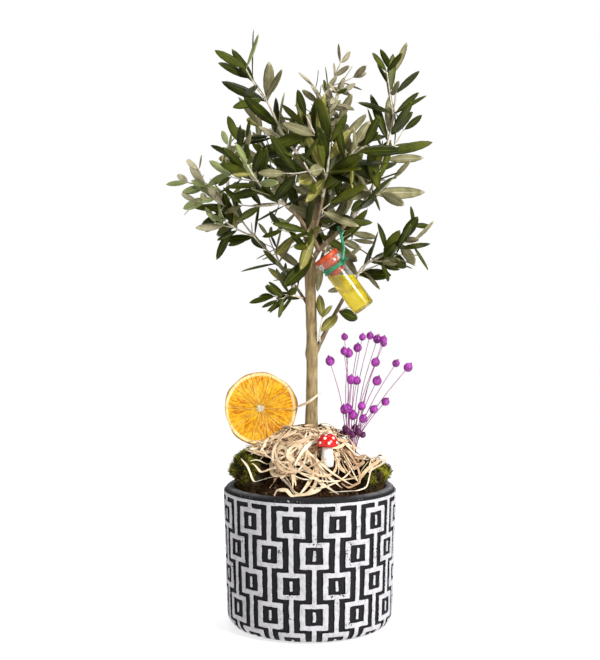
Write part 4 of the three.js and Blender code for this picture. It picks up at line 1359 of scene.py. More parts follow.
leaf_draw = number_stream(LEAF_SEED)
for name, stands in leaf_stands.items():
    stands = [sized(name, place) for place in stands]
    kept = [turned_to_light(place, leaf_draw) for place in stands if in_reach(place) and is_clear(place)]
    dealt = [deal(SPRAYS[spray_of(name, place)], leaf_draw) for place in kept]
    broad = [breadth_of(name, place, tint) for place, tint in zip(kept, dealt)]
    corners = np.stack([leaf_copy(place, breadth, leaf_draw) for place, breadth in zip(kept, broad)])
    tints = np.stack([tint_rows[tint][leaf_kinds] for tint in dealt])
    mesh = joined_mesh("leaves_" + name, corners, leaf_faces, tints)
    mesh_piece("leaves_" + name, mesh, leaf_finishes, ["foliage_" + name])

# %% [markdown]
# Dark peat fills the pot and rises to a mound. Its body is spun like the pot, a hair smaller than the room
# inside it, and its skin is moved by two noises. A boolean with the pot would fit too, but leaves no gap.

# %% Soil
SOIL = {"edge": 96.0, "top": 132.0, "top_radius": 9.0, "fall": 1.6, "rough": 0.9, "sink": 0.5,
        "skin_above": 0.09}
SOIL_ROUGH = ((220, 1.0), (520, 0.6))
SOIL_FINISHES = {
    "peat": ((0.011, 0.005, 0.002), (0.055, 0.025, 0.01), 420.0, 0.95, 0.1, 0.0012),
    "peat_red": ((0.03, 0.012, 0.005), (0.085, 0.035, 0.014), 500.0, 0.95, 0.1, 0.0006),
    "peat_fibre": ((0.05, 0.03, 0.015), (0.12, 0.075, 0.04), 500.0, 0.95, 0.1, 0.0006),
}


def inner_radius(height):
    return between(POT["foot"], POT["rim"], height / POT["height"]) - POT["wall"]


def soil_height(radius):
    share = max(0.0, radius - SOIL["top_radius"]) / (inner_radius(SOIL["edge"]) - SOIL["top_radius"])
    return between(SOIL["top"], SOIL["edge"], min(1.0, share) ** SOIL["fall"])


def soil_body():
    bottom = POT["floor"] + GAP
    edge = inner_radius(SOIL["edge"]) - GAP
    profile = [(0, bottom), (inner_radius(POT["floor"]) - GAP, bottom)]
    profile += [(edge * (1 - i / 24), soil_height(edge * (1 - i / 24))) for i in range(25)]
    bm = spun(profile, 96)
    for vert in bm.verts:
        if vert.co.z > SOIL["skin_above"]:
            vert.co.z += (layered(vert.co, SOIL_ROUGH) * SOIL["rough"] - SOIL["sink"]) * MM
    return bm


soil_finishes = finish_set(SOIL_FINISHES)
new_piece("soil_bed", soil_body(), soil_finishes[:1], ["soil"])

# %% [markdown]
# A smooth mound would look like clay, so loose crumbs lie on it as well. Particles could strew them, but here
# copies of one small round shape, each stretched and turned its own way, are joined into one mesh.

# %% Crumbs of peat
CRUMB_SEED = 5
CRUMBS = {"count": 1500, "radii": (28, 53.5), "sizes": (0.4, 1.5), "forms": (0.5, 1.3), "lift": 0.1}
CRUMB_SHARES = (0.55, 0.3, 0.15)


def random_turn(rng):
    return np.array(Quaternion(rng.normal(size=4)).normalized().to_matrix())


def crumb_copy(rng):
    low, high = CRUMBS["radii"]
    radius = math.sqrt(rng.uniform(low ** 2, high ** 2))
    angle = rng.uniform(0, 2 * math.pi)
    size = rng.uniform(*CRUMBS["sizes"])
    shape = (crumb_corners * rng.uniform(*CRUMBS["forms"], 3)) @ random_turn(rng)
    height = soil_height(radius) + CRUMBS["lift"] * size
    return (shape * size + (radius * math.cos(angle), radius * math.sin(angle), height)) * MM


crumb_bm = bmesh.new()
bmesh.ops.create_icosphere(crumb_bm, subdivisions=1, radius=1)
crumb_corners, crumb_faces = shape_arrays(crumb_bm)
crumb_bm.free()
crumb_rng = np.random.default_rng(CRUMB_SEED)
crumbs = np.stack([crumb_copy(crumb_rng) for i in range(CRUMBS["count"])])
crumb_tints = crumb_rng.choice(3, size=(len(crumbs), 1), p=CRUMB_SHARES).repeat(len(crumb_faces), axis=1)
crumb_mesh = joined_mesh("soil_crumbs", crumbs, crumb_faces, crumb_tints)
mesh_piece("soil_crumbs", crumb_mesh, soil_finishes)

# %% [markdown]
# Three cushions of moss lie round the mound. Each is a round lump with an uneven skin, which keeps inside the
# rim below and swells over it above. Sculpting would do, but the blades need to know the skin, so it is
# worked out by rule for many directions at once.

# %% Moss cushions
MOSS = {
    "left": {"middle": (-43, -4, 111), "reach": (18, 29, 22), "seed": 11, "tufts": 1000, "shade": -0.12},
    "right": {"middle": (45, -11, 107), "reach": (19, 27, 19), "seed": 12, "tufts": 850, "shade": -0.25},
    "back": {"middle": (6, 46, 106), "reach": (33, 15, 16), "seed": 13, "tufts": 700, "shade": -0.12},
}
# Most radius inside the rim, how far the moss swells over it, where that starts and over what height it grows
MOSS_LIMIT = {"radius": 52.0, "over": 9.0, "from": 107, "rise": 11}
MOSS_SWELL = 0.06
MOSS_DOME = 0.7
MOSS_ROUGH = ((0.13, 2.6), (0.33, 1.5))
BED_SINK = 3.6


def moss_skin(directions, cushion, shrink):
    """Points of a cushion's skin in millimetres, for unit directions from its middle."""
    draw = number_stream(cushion["seed"])
    first, second = [draw() * 2 * math.pi for i in range(2)]
    x, y, z = directions.T
    around = np.arctan2(y, x)
    waves = np.sin(5 * around + first) + np.sin(3 * around + second)
    swell = 1 + MOSS_SWELL * np.hypot(x, y) * waves
    shares = np.stack([x * swell, y * swell, np.sign(z) * np.abs(z) ** MOSS_DOME], axis=1)
    skin = np.array(cushion["middle"]) + shares * (np.array(cushion["reach"]) - shrink)
    over = np.clip((skin[:, 2] - MOSS_LIMIT["from"]) / MOSS_LIMIT["rise"], 0, 1)
    most = MOSS_LIMIT["radius"] + MOSS_LIMIT["over"] * over
    skin[:, :2] *= np.minimum(1, most / np.maximum(np.hypot(skin[:, 0], skin[:, 1]), 1e-6))[:, None]
    skin[:, 2] += [layered(Vector(point), MOSS_ROUGH) for point in skin]
    return skin


def moss_lump(cushion):
    bm = bmesh.new()
    bmesh.ops.create_icosphere(bm, subdivisions=5, radius=1)
    directions = np.array([v.co.normalized() for v in bm.verts])
    for vert, point in zip(bm.verts, moss_skin(directions, cushion, BED_SINK)):
        vert.co = Vector(point) * MM
    return faced_out(bm)


moss_bed = grained("moss_bed", (0.008, 0.008, 0.002), (0.03, 0.026, 0.008), 260.0, 0.95, depth=0.0006)
moss_lumps = {name: moss_lump(cushion) for name, cushion in MOSS.items()}
print("moss lumps:", {name: len(bm.verts) for name, bm in moss_lumps.items()})

# %% [markdown]
# Hundreds of tufts stand on each cushion, each a star of fine blades. Hair particles would give blades too,
# but joined meshes keep the same shape in every render and can be exported. Colour is dealt out tuft by tuft:
# bright high up and far out from the middle, and darker and browner low down near the soil.

# %% Moss blades
MOSS_SEED = 8
TUFT = 13
BLADE = np.array(((-0.5, -0.29, 0), (0.5, -0.29, 0), (0, 0.58, 0), (0, 0, 1)))
BLADE_FACES = [[0, 1, 3], [1, 2, 3], [2, 0, 3], [0, 2, 1]]
BLADE_SIZE = {"length": (2.4, 4.8), "width": (0.34, 0.62), "tuft": (0.7, 1.25), "scatter": 0.45, "splay": 0.5}
TUFT_SINK = 4.2
TUFT_LOWEST = 0.45
# How a tuft's shade grows with its height, patch and place, and how much of it is chance
SHADE = {"height": 0.45, "patch": 0.9, "outer": 1.5, "chance": 0.22, "grain": 0.09, "near": 1.2, "far": 40}
# Below this share of the height the tufts turn darker and browner, over this depth
LOW_BROWNING = {"below": 0.3, "depth": 0.45, "darker": 1.5}
SHADE_STEPS = (0.02, 0.26, 0.48)
MOSS_FINISHES = {
    "brown": ((0.035, 0.02, 0.007), (0.09, 0.055, 0.02), 300.0, 0.95, 0.1),
    "dark": ((0.02, 0.022, 0.004), (0.055, 0.058, 0.01), 300.0, 0.95, 0.1),
    "olive": ((0.08, 0.08, 0.008), (0.18, 0.17, 0.02), 300.0, 0.9, 0.1),
    "bright": ((0.2, 0.21, 0.014), (0.4, 0.38, 0.035), 300.0, 0.9, 0.1),
}


def unit(vectors):
    return vectors / np.linalg.norm(vectors, axis=1)[:, None]


def tuft_tints(cushion, roots, rng):
    """Finish of each tuft: brown low down, dark within, bright on the outer side."""
    height = (roots[:, 2] - cushion["middle"][2]) / cushion["reach"][2]
    height = height - LOW_BROWNING["darker"] * np.clip((LOW_BROWNING["below"] - height) / LOW_BROWNING["depth"], 0, 1)
    outer = np.hypot(roots[:, 0], roots[:, 1]) / SHADE["far"] - SHADE["near"]
    shift = Vector((cushion["seed"], 0, 0))
    patch = np.array([noise.noise(Vector(root) * SHADE["grain"] + shift) for root in roots])
    shade = cushion["shade"] + SHADE["height"] * height + SHADE["patch"] * patch + SHADE["outer"] * outer
    return np.digitize(shade + rng.normal(scale=SHADE["chance"], size=len(roots)), SHADE_STEPS)


def moss_blades(cushion, rng):
    """Corners of all blades of a cushion in metres, and the finish of each of their faces."""
    tufts = cushion["tufts"]
    count = tufts * TUFT
    directions = rng.normal(size=(tufts, 3))
    directions[:, 2] = np.abs(directions[:, 2]) - TUFT_LOWEST
    directions = unit(directions)
    roots = moss_skin(directions, cushion, TUFT_SINK)
    tints = tuft_tints(cushion, roots, rng).repeat(TUFT)
    size = rng.uniform(*BLADE_SIZE["tuft"], tufts).repeat(TUFT)
    roots = roots.repeat(TUFT, axis=0) + rng.normal(scale=BLADE_SIZE["scatter"], size=(count, 3))
    lean = directions.repeat(TUFT, axis=0) * (0.8, 0.7, 0.7) + (0, 0, 0.25)
    lean = unit(lean + rng.normal(scale=BLADE_SIZE["splay"], size=(count, 3)))
    side = unit(np.cross(lean, rng.normal(size=(count, 3))))
    third = np.cross(lean, side)
    length = (rng.uniform(*BLADE_SIZE["length"], count) * size)[:, None, None]
    width = (rng.uniform(*BLADE_SIZE["width"], count) * size)[:, None, None]
    corners = side[:, None] * BLADE[None, :, :1] * width + third[:, None] * BLADE[None, :, 1:2] * width
    corners = corners + lean[:, None] * BLADE[None, :, 2:] * length + roots[:, None]
    return corners * MM, tints[:, None].repeat(len(BLADE_FACES), axis=1)


moss_finishes = finish_set(MOSS_FINISHES, "moss_")
moss_rng = np.random.default_rng(MOSS_SEED)
for name, cushion in MOSS.items():
    new_piece("moss_bed_" + name, moss_lumps[name], [moss_bed], ["moss_" + name])
    corners, tints = moss_blades(cushion, moss_rng)
    blades = joined_mesh("moss_blades_" + name, corners, BLADE_FACES, tints)
    mesh_piece("moss_blades_" + name, blades, moss_finishes)

# %% [markdown]
# Raffia is a dry palm fibre, cut in flat ribbons that curl. They lie heaped on the mound and loop over the
# soil and the moss in front. A cloth or hair simulation could drop them there, but it is slow and hard to
# steer. Here a rule gives the heap's height at any place, and the ribbons are laid on it.

# %% The ground under the raffia
NEST = {"top": 150.0, "fall_x": 21.0, "reach_x": 48.0, "fall_y": 33.0, "reach_y": 50.0, "bend": 1.8}
SLICE = {"radius": 27.5, "half": 2.3, "rind": 2.8, "dip": 0.7, "middle": (-37, 9, 161), "lean": -8,
         "turn": -6}
MUSHROOM = {"foot": (12.5, -31, 123.3), "stalk_radius": 4.6, "stalk": 14.5, "cap_radius": 8.0, "cap": 9.5}
FLAX = {"foot": (32, 4, 123.8), "top": 6.5, "height": 17, "pod": 3.2, "stem": 0.34}
# Middle and room of what the ribbons keep off: the trunk, the mushroom and the flax
KEEP_OFF = [(1, 0, 7.0), (*MUSHROOM["foot"][:2], 6.2), (*FLAX["foot"][:2], 5.5)]
LIE = {"on_soil": 0.8, "rim_from": 54, "on_rim": 0.7, "moss_dome": 0.35, "probe": 2, "slice_room": 1,
       "beside": 6}


def nest_height(x, y):
    """Top of the loose heap: a broad dome that falls to the moss at the sides and to the rim in front."""
    fall = NEST["fall_x"] * (abs(x) / NEST["reach_x"]) ** NEST["bend"]
    fall += NEST["fall_y"] * (abs(y) / NEST["reach_y"]) ** NEST["bend"]
    return NEST["top"] - fall


def moss_top(x, y):
    """Height of the moss at a place, or 0 where there is none."""
    top = 0.0
    for cushion in MOSS.values():
        middle, reach = cushion["middle"], cushion["reach"]
        inside = 1 - ((x - middle[0]) / reach[0]) ** 2 - ((y - middle[1]) / reach[1]) ** 2
        if inside > 0:
            top = max(top, middle[2] + reach[2] * inside ** LIE["moss_dome"])
    return top


def heap_height(x, y, layer):
    """Height of a layer of the heap, from 0 on the soil to 1 on its top."""
    radius = math.hypot(x, y)
    soil = POT["height"] + LIE["on_rim"] if radius > LIE["rim_from"] else soil_height(radius) + LIE["on_soil"]
    return max(soil + max(0.0, nest_height(x, y) - soil) * layer, moss_top(x, y))


def heap_normal(x, y):
    """Which way the top of the heap faces at a place."""
    step = LIE["probe"]
    east = heap_height(x + step, y, 1.0) - heap_height(x - step, y, 1.0)
    north = heap_height(x, y + step, 1.0) - heap_height(x, y - step, 1.0)
    return Vector((-east / (2 * step), -north / (2 * step), 1)).normalized()


def is_free(run, reach):
    """True where a ribbon's way keeps inside its reach and off the trunk, the mushroom and the flax."""
    if np.hypot(run[:, 0], run[:, 1]).max() > reach:
        return False
    return all(np.hypot(run[:, 0] - x, run[:, 1] - y).min() > room for x, y, room in KEEP_OFF)


def beside_slice(x, y, height):
    """Moves a point out of the orange slice, to the side of it that is nearer."""
    cx, cy, cz = SLICE["middle"]
    is_past = math.hypot(x - cx, height - cz) > SLICE["radius"] + LIE["slice_room"]
    if is_past or abs(y - cy) > LIE["beside"]:
        return y
    return cy + math.copysign(LIE["beside"], y - cy)


print("heap height at 0, 20 and 40 mm:", [round(nest_height(r, 0), 1) for r in (0, 20, 40)])

# %% [markdown]
# A ribbon's way is found by trying: a curve whose bend drifts a little starts by chance, and is thrown away
# where it leaves its reach or meets the trunk, the mushroom or the flax. Nine groups of ribbons let each side
# of the heap be close or loose as in the photograph. Two ribbons in ten curl into loops.

# %% Ways of the ribbons
RAFFIA_SEED = 31
RIBBON_STEPS = 36
# Count, turn and radius of the first point, layer, lift and reach of each group of ribbons
HEAPS = (
    (70, (0, 360), (8, 34), (0.3, 0.85), (0.0, 2.0), (32, 43)),
    (56, (0, 360), (8, 26), (0.75, 1.0), (0.0, 3.0), (28, 42)),
    (18, (-45, 25), (16, 34), (0.3, 0.9), (0.0, 3.0), (34, 46)),
    (46, (-130, -42), (22, 50), (0.05, 0.9), (0.0, 6.0), (46, 59)),
    (20, (-185, -115), (22, 46), (0.25, 1.0), (0.0, 4.0), (42, 54)),
    (16, (-115, -38), (44, 55), (0.3, 0.8), (0.0, 3.0), (56, 60)),
    (18, (-45, 12), (36, 56), (0.0, 0.6), (0.0, 3.5), (56, 62)),
    (36, (20, 165), (16, 46), (0.2, 1.0), (0.0, 4.0), (40, 54)),
    (9, (165, 200), (28, 50), (0.85, 1.0), (0.0, 2.5), (42, 55)),
)
OPEN_BEND = 0.055
LOOP_BEND = 0.2
LOOP_SHARE = 0.2
BEND_DRIFT = 0.014
STEP_SIZES = (0.9, 2.1)
TRIES = 120
LIFT = {"clear": 0.4, "waves": 5}
EASINGS = 3
# One ribbon stands up beside the orange slice
STRAY = ((-42, 18, 128), (-28, 17, 146), (-14, 9, 160), (-1, -7, 168), (8.5, -9, 175.5))


def ribbon_run(turns, radii, rng):
    """One try at a ribbon's way over the ground, seen from above."""
    angle = math.radians(rng.uniform(*turns))
    radius = rng.uniform(*radii)
    most = LOOP_BEND if rng.uniform() < LOOP_SHARE else OPEN_BEND
    bends = rng.uniform(-most, most) + np.cumsum(rng.normal(scale=BEND_DRIFT, size=RIBBON_STEPS))
    headings = rng.uniform(0, 2 * math.pi) + np.cumsum(bends)
    steps = rng.uniform(*STEP_SIZES) * np.stack([np.cos(headings), np.sin(headings)], axis=1)
    start = np.array([radius * math.cos(angle), radius * math.sin(angle)])
    return start + np.cumsum(np.concatenate([np.zeros((1, 2)), steps]), axis=0)


def eased(points):
    """The points with their bends drawn smooth, and both ends kept."""
    inner = [(a + 2 * b + c) / 4 for a, b, c in zip(points, points[1:], points[2:])]
    return [points[0], *inner, points[-1]]


def ribbon_path(heap, rng):
    """The points of one ribbon on the heap, or None where no try found room."""
    turns, radii, *ranges = heap[1:]
    layer, lift, reach = [rng.uniform(*limits) for limits in ranges]
    phase = rng.uniform(0, 2 * math.pi)
    tries = (ribbon_run(turns, radii, rng) for attempt in range(TRIES))
    run = next((run for run in tries if is_free(run, reach)), None)
    if run is None:
        return None
    points = []
    for index, (x, y) in enumerate(run):
        wave = 0.5 + 0.5 * math.sin(phase + LIFT["waves"] * index / RIBBON_STEPS)
        height = heap_height(x, y, layer) + LIFT["clear"] + lift * wave
        points.append(Vector((x, beside_slice(x, y, height), height)))
    for turn in range(EASINGS):
        points = eased(points)
    return points


raffia_rng = np.random.default_rng(RAFFIA_SEED)
ribbon_paths = [ribbon_path(heap, raffia_rng) for heap in HEAPS for ribbon in range(heap[0])]
ribbon_paths = [points for points in ribbon_paths if points]
print("ribbons laid:", len(ribbon_paths), "of", sum(heap[0] for heap in HEAPS))
stray_path = smooth_path(STRAY)
ribbon_paths.append([stray_path.point(i / RIBBON_STEPS) for i in range(RIBBON_STEPS + 1)])

# %% [markdown]
# Each ribbon is a narrow grid that is carried along its way, laid on the slope under it, twisted a little and
# narrowed at its ends. Solidify gives all of them their thickness at the end. A curve with a flat bevel would
# be shorter to write, but turns over where its way bends.

# %% Raffia
RIBBON_WIDTHS = (1.1, 1.8, 2.4, 3.0)
WIDTH_SHARES = (0.15, 0.35, 0.32, 0.18)
WIDTH_SPREAD = (0.85, 1.15)
TINT_SHARES = (0.42, 0.3, 0.16, 0.12)
TAPER = {"end": 0.35, "rate": 4}
TWIST = {"turn": (-0.8, 0.8), "swing": (0.1, 0.8), "waves": 6}
RIBBON_THICK = 0.2
RAFFIA_FINISHES = {
    "cream": ((0.66, 0.48, 0.29), (0.88, 0.72, 0.49), 260.0, 0.65, 0.5, 0.0002),
    "pale": ((0.78, 0.63, 0.43), (0.92, 0.81, 0.63), 260.0, 0.65, 0.5, 0.0002),
    "straw": ((0.5, 0.33, 0.18), (0.75, 0.54, 0.34), 260.0, 0.68, 0.5, 0.0002),
    "brown": ((0.3, 0.17, 0.08), (0.56, 0.36, 0.2), 260.0, 0.7, 0.5, 0.0002),
}


def lay_ribbon(bm, points, width, rng):
    made = bmesh.ops.create_grid(bm, x_segments=1, y_segments=RIBBON_STEPS, size=0.5)["verts"]
    twist = rng.uniform(*TWIST["turn"])
    swing = rng.uniform(*TWIST["swing"])
    phase = rng.uniform(0, 2 * math.pi)
    for vert in made:
        index = round((vert.co.y + 0.5) * RIBBON_STEPS)
        here = points[index]
        along = (points[min(index + 1, RIBBON_STEPS)] - points[max(index - 1, 0)]).normalized()
        flat = along.cross(heap_normal(here.x, here.y)).normalized()
        turn = twist + swing * math.sin(phase + TWIST["waves"] * index / RIBBON_STEPS)
        flat = turned_about(flat, along, math.degrees(turn))
        from_end = min(index, RIBBON_STEPS - index) / RIBBON_STEPS
        taper = min(1.0, TAPER["end"] + TAPER["rate"] * from_end)
        vert.co = (here + flat * (vert.co.x * width * taper)) * MM


def tint_from(bm, first, tint):
    """Gives one finish to all faces from a number on."""
    bm.faces.ensure_lookup_table()
    for index in range(first, len(bm.faces)):
        bm.faces[index].material_index = tint


raffia_bm = bmesh.new()
for points in ribbon_paths:
    width = raffia_rng.choice(RIBBON_WIDTHS, p=WIDTH_SHARES) * raffia_rng.uniform(*WIDTH_SPREAD)
    laid = len(raffia_bm.faces)
    lay_ribbon(raffia_bm, points, width, raffia_rng)
    tint_from(raffia_bm, laid, int(raffia_rng.choice(len(TINT_SHARES), p=TINT_SHARES)))
bmesh.ops.solidify(raffia_bm, geom=raffia_bm.faces[:], thickness=RIBBON_THICK * MM)
faced_out(raffia_bm)
raffia_finishes = finish_set(RAFFIA_FINISHES, "raffia_")
new_piece("raffia_heap", raffia_bm, raffia_finishes, ["raffia_nest"], crease=40)

# %% [markdown]
# The orange slice is dried fruit: a thin rind round a face of wrinkled flesh. Its disc is spun lying down,
# moved by two noises in the flesh and a few waves at the edge, and then stood on edge. A flat disc with a
# bump would be lighter, but its outline would be a perfect circle.

# %% Orange slice
SLICE_PLACE = (
    Matrix.Translation(Vector(SLICE["middle"]) * MM)
    @ Matrix.Rotation(math.radians(SLICE["turn"]), 4, "Z")
    @ Matrix.Rotation(math.radians(90 + SLICE["lean"]), 4, "X")
)
# Steps out from the flesh and down from the face, round the rind
RIND_STEPS = ((0.9, 0.0), (1.9, 0.0), (2.5, 0.6), (2.8, 1.5))
# Scale, size and shift of the noises in the flesh, their depth, and the width over which they fade out
PULP_LAYERS = ((0.5, 1.0, 4), (1.2, 0.8, 9))
PULP = {"depth": 0.55, "fade": 2.0}
# Number, depth and start of the waves round the edge
EDGE_WAVES = ((3, 0.016, 1.0), (5, 0.012, 0.0), (10, 0.008, 0.0))
WARP = {"depth": 0.5, "waves": 2, "start": 0.6}
FLESH = SLICE["radius"] - SLICE["rind"]


def slice_profile():
    half = SLICE["half"]
    upper = [(FLESH * i / 18, half - SLICE["dip"]) for i in range(19)]
    upper += [(FLESH + out, half - down) for out, down in RIND_STEPS]
    return [(r, -z) for r, z in upper] + [(r, z) for r, z in reversed(upper)]


def slice_lift(x, y, side):
    """How far a point of the slice moves along its axis, in millimetres."""
    radius = math.hypot(x, y)
    pulp = sum(size * noise.noise(Vector((x * scale, y * scale, side * shift)))
               for scale, size, shift in PULP_LAYERS)
    inside = min(1.0, max(0.0, (FLESH - radius) / PULP["fade"]))
    warp = math.sin(WARP["waves"] * math.atan2(y, x) + WARP["start"])
    return side * PULP["depth"] * pulp * inside + WARP["depth"] * warp * (radius / SLICE["radius"]) ** 2


def slice_body():
    bm = spun(slice_profile(), 150)
    for vert in bm.verts:
        x, y, z = vert.co
        angle = math.atan2(y, x)
        wobble = 1 + sum(depth * math.sin(waves * angle + start) for waves, depth, start in EDGE_WAVES)
        lift = slice_lift(x / MM, y / MM, 1 if z > 0 else -1)
        vert.co = (x * wobble, y * wobble, z + lift * MM)
    bmesh.ops.transform(bm, matrix=SLICE_PLACE, verts=bm.verts)
    return bm


slice_bm = slice_body()
print("slice corners:", len(slice_bm.verts))

# %% [markdown]
# Its face shows a brown rind, a pale line of pith, ten wedges of amber flesh between paler skins, and a small
# pale star in the middle. A picture could be laid on the disc, but the wedges are easy to work out: a Mapping
# node turns the slice back, and the angle and the radius then say which part a point belongs to.

# %% Finish of the slice
WEDGES = 10
WEDGE_ANGLE = 2 * math.pi / WEDGES
# Colours of the slice from the flesh outwards
JUICE = ((0.48, 0.15, 0.0), (0.88, 0.41, 0.004))
# Lighter blotches of the flesh, partly a painted highlight
BLOTCH_AND_HIGHLIGHT = (0.95, 0.57, 0.03)
WEDGE_SKIN = (0.92, 0.6, 0.16)
STAR = (0.96, 0.86, 0.62)
# How fast the streaks change with angle, radius and depth
STREAKS = (16.0, 0.22, 300.0)
# Radii where pith, rind and edge begin and are full, and their colours
ROUNDS = (
    (25.0, 26.0, (0.92, 0.68, 0.3)),
    (27.3, 27.8, (0.62, 0.27, 0.02)),
    (28.0, 28.4, (0.3, 0.12, 0.015)),
)


def laid_back(tree):
    """Place on the slice as if it still lay at the origin."""
    node = new_node(tree, "Mapping", Vector=object_place(tree), Location=SLICE_PLACE.translation,
                    Rotation=SLICE_PLACE.to_euler())
    node.vector_type = "TEXTURE"
    return node.outputs["Vector"]


def wedge_skin(tree, angle, radius, wobble):
    """1 on the skins between the wedges: near to one in millimetres along the arc."""
    sway = math_node(tree, "MULTIPLY_ADD", wobble, 0.3, -0.15)
    wedges = math_node(tree, "MULTIPLY", math_node(tree, "ADD", angle, sway), 1 / WEDGE_ANGLE)
    nearest = math_node(tree, "MULTIPLY", math_node(tree, "PINGPONG", wedges, 0.5), radius)
    return range_node(tree, math_node(tree, "MULTIPLY", nearest, WEDGE_ANGLE), 0.2, 0.6, 1.0, 0.0)


def pulp_streaks(tree, angle, radius, depth):
    """A noise drawn out from the middle, as the juice sacs lie."""
    parts = zip((angle, radius, depth), STREAKS)
    x, y, z = [math_node(tree, "MULTIPLY", part, scale) for part, scale in parts]
    return noise_node(tree, 1.0, 4.0, new_node(tree, "CombineXYZ", X=x, Y=y, Z=z).outputs["Vector"])


def slice_finish():
    made, shader = new_material("dried_orange")
    tree = made.node_tree
    laid = laid_back(tree)
    x, y, depth = [axis_of(tree, laid, axis) for axis in "XYZ"]
    angle = math_node(tree, "ARCTAN2", y, x)
    flat = new_node(tree, "CombineXYZ", X=x, Y=y).outputs["Vector"]
    radius = math_node(tree, "MULTIPLY", math_node(tree, "LENGTH", flat, kind="VectorMath"), 1 / MM)
    wobble = noise_node(tree, 130.0, 3.0, laid)
    skin = wedge_skin(tree, angle, radius, wobble)
    streak = pulp_streaks(tree, angle, radius, depth)
    # Random lighter blotches in the flesh, which partly stand for a painted highlight
    blotch_and_highlight = range_node(tree, noise_node(tree, 95.0, 4.0), 0.42, 0.66)
    colour = mix_node(tree, range_node(tree, streak, 0.4, 0.6), *JUICE)
    colour = mix_node(tree, math_node(tree, "MULTIPLY", blotch_and_highlight, 0.6), colour, BLOTCH_AND_HIGHLIGHT)
    colour = mix_node(tree, math_node(tree, "MULTIPLY", skin, 0.45), colour, WEDGE_SKIN)
    star = math_node(tree, "MULTIPLY_ADD", wobble, 3.0, radius)
    colour = mix_node(tree, range_node(tree, star, 3.0, 5.0, 1.0, 0.0), colour, STAR)
    wavy = math_node(tree, "MULTIPLY_ADD", wobble, 1.6, radius)
    for low, high, tint in ROUNDS:
        colour = mix_node(tree, range_node(tree, wavy, low, high), colour, tint)
    set_inputs(shader, Base_Color=colour, Roughness=0.33, Specular_IOR_Level=0.3, Subsurface_Weight=0.15,
               Subsurface_Radius=(0.004, 0.0015, 0.0004))
    bump_node(tree, shader, math_node(tree, "MULTIPLY_ADD", skin, 0.5, streak), 0.0014)
    return made


new_piece("orange_disc", slice_bm, [slice_finish()], ["orange_slice"], crease=60)

# %% [markdown]
# The mushroom is a small painted toy: a white stalk, a glossy red cap and white dots that stand up a little
# as thick paint does. Stalk and cap are spun. Dots in a shader would lie flat, so each dot is a flattened
# round shape that is set on the cap by its angle.

# %% Toy mushroom
CAP_FOOT = Vector(MUSHROOM["foot"]) + UP * (MUSHROOM["stalk"] + GAP)
CAP_EDGE = 0.18
DOT_THICK = 0.34
# Tilt, number, first turn and size of the dots in each round of the cap
DOT_ROUNDS = ((12, 7, 20, 1.05), (40, 6, -48, 1.25), (66, 3, 10, 1.1), (88, 1, 0, 1.2))


def set_at(bm, place):
    bmesh.ops.translate(bm, vec=Vector(place) * MM, verts=bm.verts)
    return bm


def stalk_body():
    r, h = MUSHROOM["stalk_radius"], MUSHROOM["stalk"]
    profile = [(0, 0), (r * 0.9, 0), (r, 0.5), (r * 1.02, h * 0.2), (r, h * 0.42), (r * 0.9, h * 0.7),
               (r * 0.82, h - 0.6), (r * 0.7, h), (0, h)]
    return set_at(spun(profile, 32), MUSHROOM["foot"])


def cap_point(angle):
    """Radius and height on the cap's outside, for an angle from its edge, 0, to its top, 90."""
    turn = math.radians(angle)
    r, h = MUSHROOM["cap_radius"], MUSHROOM["cap"]
    return r * math.cos(turn) ** 0.9, h * CAP_EDGE + h * (1 - CAP_EDGE) * math.sin(turn)


def cap_body():
    r = MUSHROOM["cap_radius"]
    profile = [(0, 0.8), (r * 0.5, 0.6), (r * 0.8, 0), (r * 0.95, 0.35)]
    profile += [cap_point(a) for a in range(0, 90, 9)] + [(0, MUSHROOM["cap"])]
    return set_at(spun(profile, 40), CAP_FOOT)


def dot_place(tilt, around, size):
    """Matrix that flattens a round shape of radius 1 to a dot and sets it on the cap."""
    radius, height = cap_point(tilt)
    tilt = math.radians(tilt)
    around = math.radians(around)
    out = Vector((math.cos(around), math.sin(around), 0))
    normal = (out * math.cos(tilt) + UP * math.sin(tilt)).normalized()
    turn = UP.rotation_difference(normal).to_matrix().to_4x4()
    place = Matrix.Translation((CAP_FOOT + out * radius + UP * height) * MM)
    return place @ turn @ Matrix.Diagonal((size * MM, size * MM, DOT_THICK * MM, 1))


def cap_dots():
    bm = bmesh.new()
    for tilt, count, first, size in DOT_ROUNDS:
        for index in range(count):
            place = dot_place(tilt, first + index * 360 / count, size)
            bmesh.ops.create_uvsphere(bm, u_segments=14, v_segments=8, radius=1, matrix=place)
    return bm


toy_white = grained("toy_white", (0.72, 0.69, 0.62), (0.84, 0.82, 0.77), 180.0, 0.3, Coat_Weight=0.4)
toy_red = grained("toy_red", (0.48, 0.004, 0.002), (0.66, 0.012, 0.004), 160.0, 0.25, Coat_Weight=0.25,
                  Coat_Roughness=0.08, Specular_IOR_Level=0.35)
new_piece("toy_stalk", stalk_body(), [toy_white], ["mushroom_stalk"], crease=50)
new_piece("toy_cap", cap_body(), [toy_red], ["mushroom_cap"], crease=60)
new_piece("toy_dots", cap_dots(), [toy_white])

# %% [markdown]
# The purple sprigs are dyed flax: round seed pods with a pointed tip and five faint ribs, on stems as thin as
# a thread. The stems follow the rule of the solid bunch and gather in one foot that the raffia hides, under a
# few dark pods. One pod is shaped and copied, because particles can't be told where each head stands.

# %% Flax pods
FLAX_SEED = 31
# Number of stems, range of lean and of length, and layer from back to front, of each tier
TIERS = ((8, (-3, 18), (62, 82), 4), (8, (-14, 36), (42, 68), 0), (7, (-11, 40), (14, 38), -4))
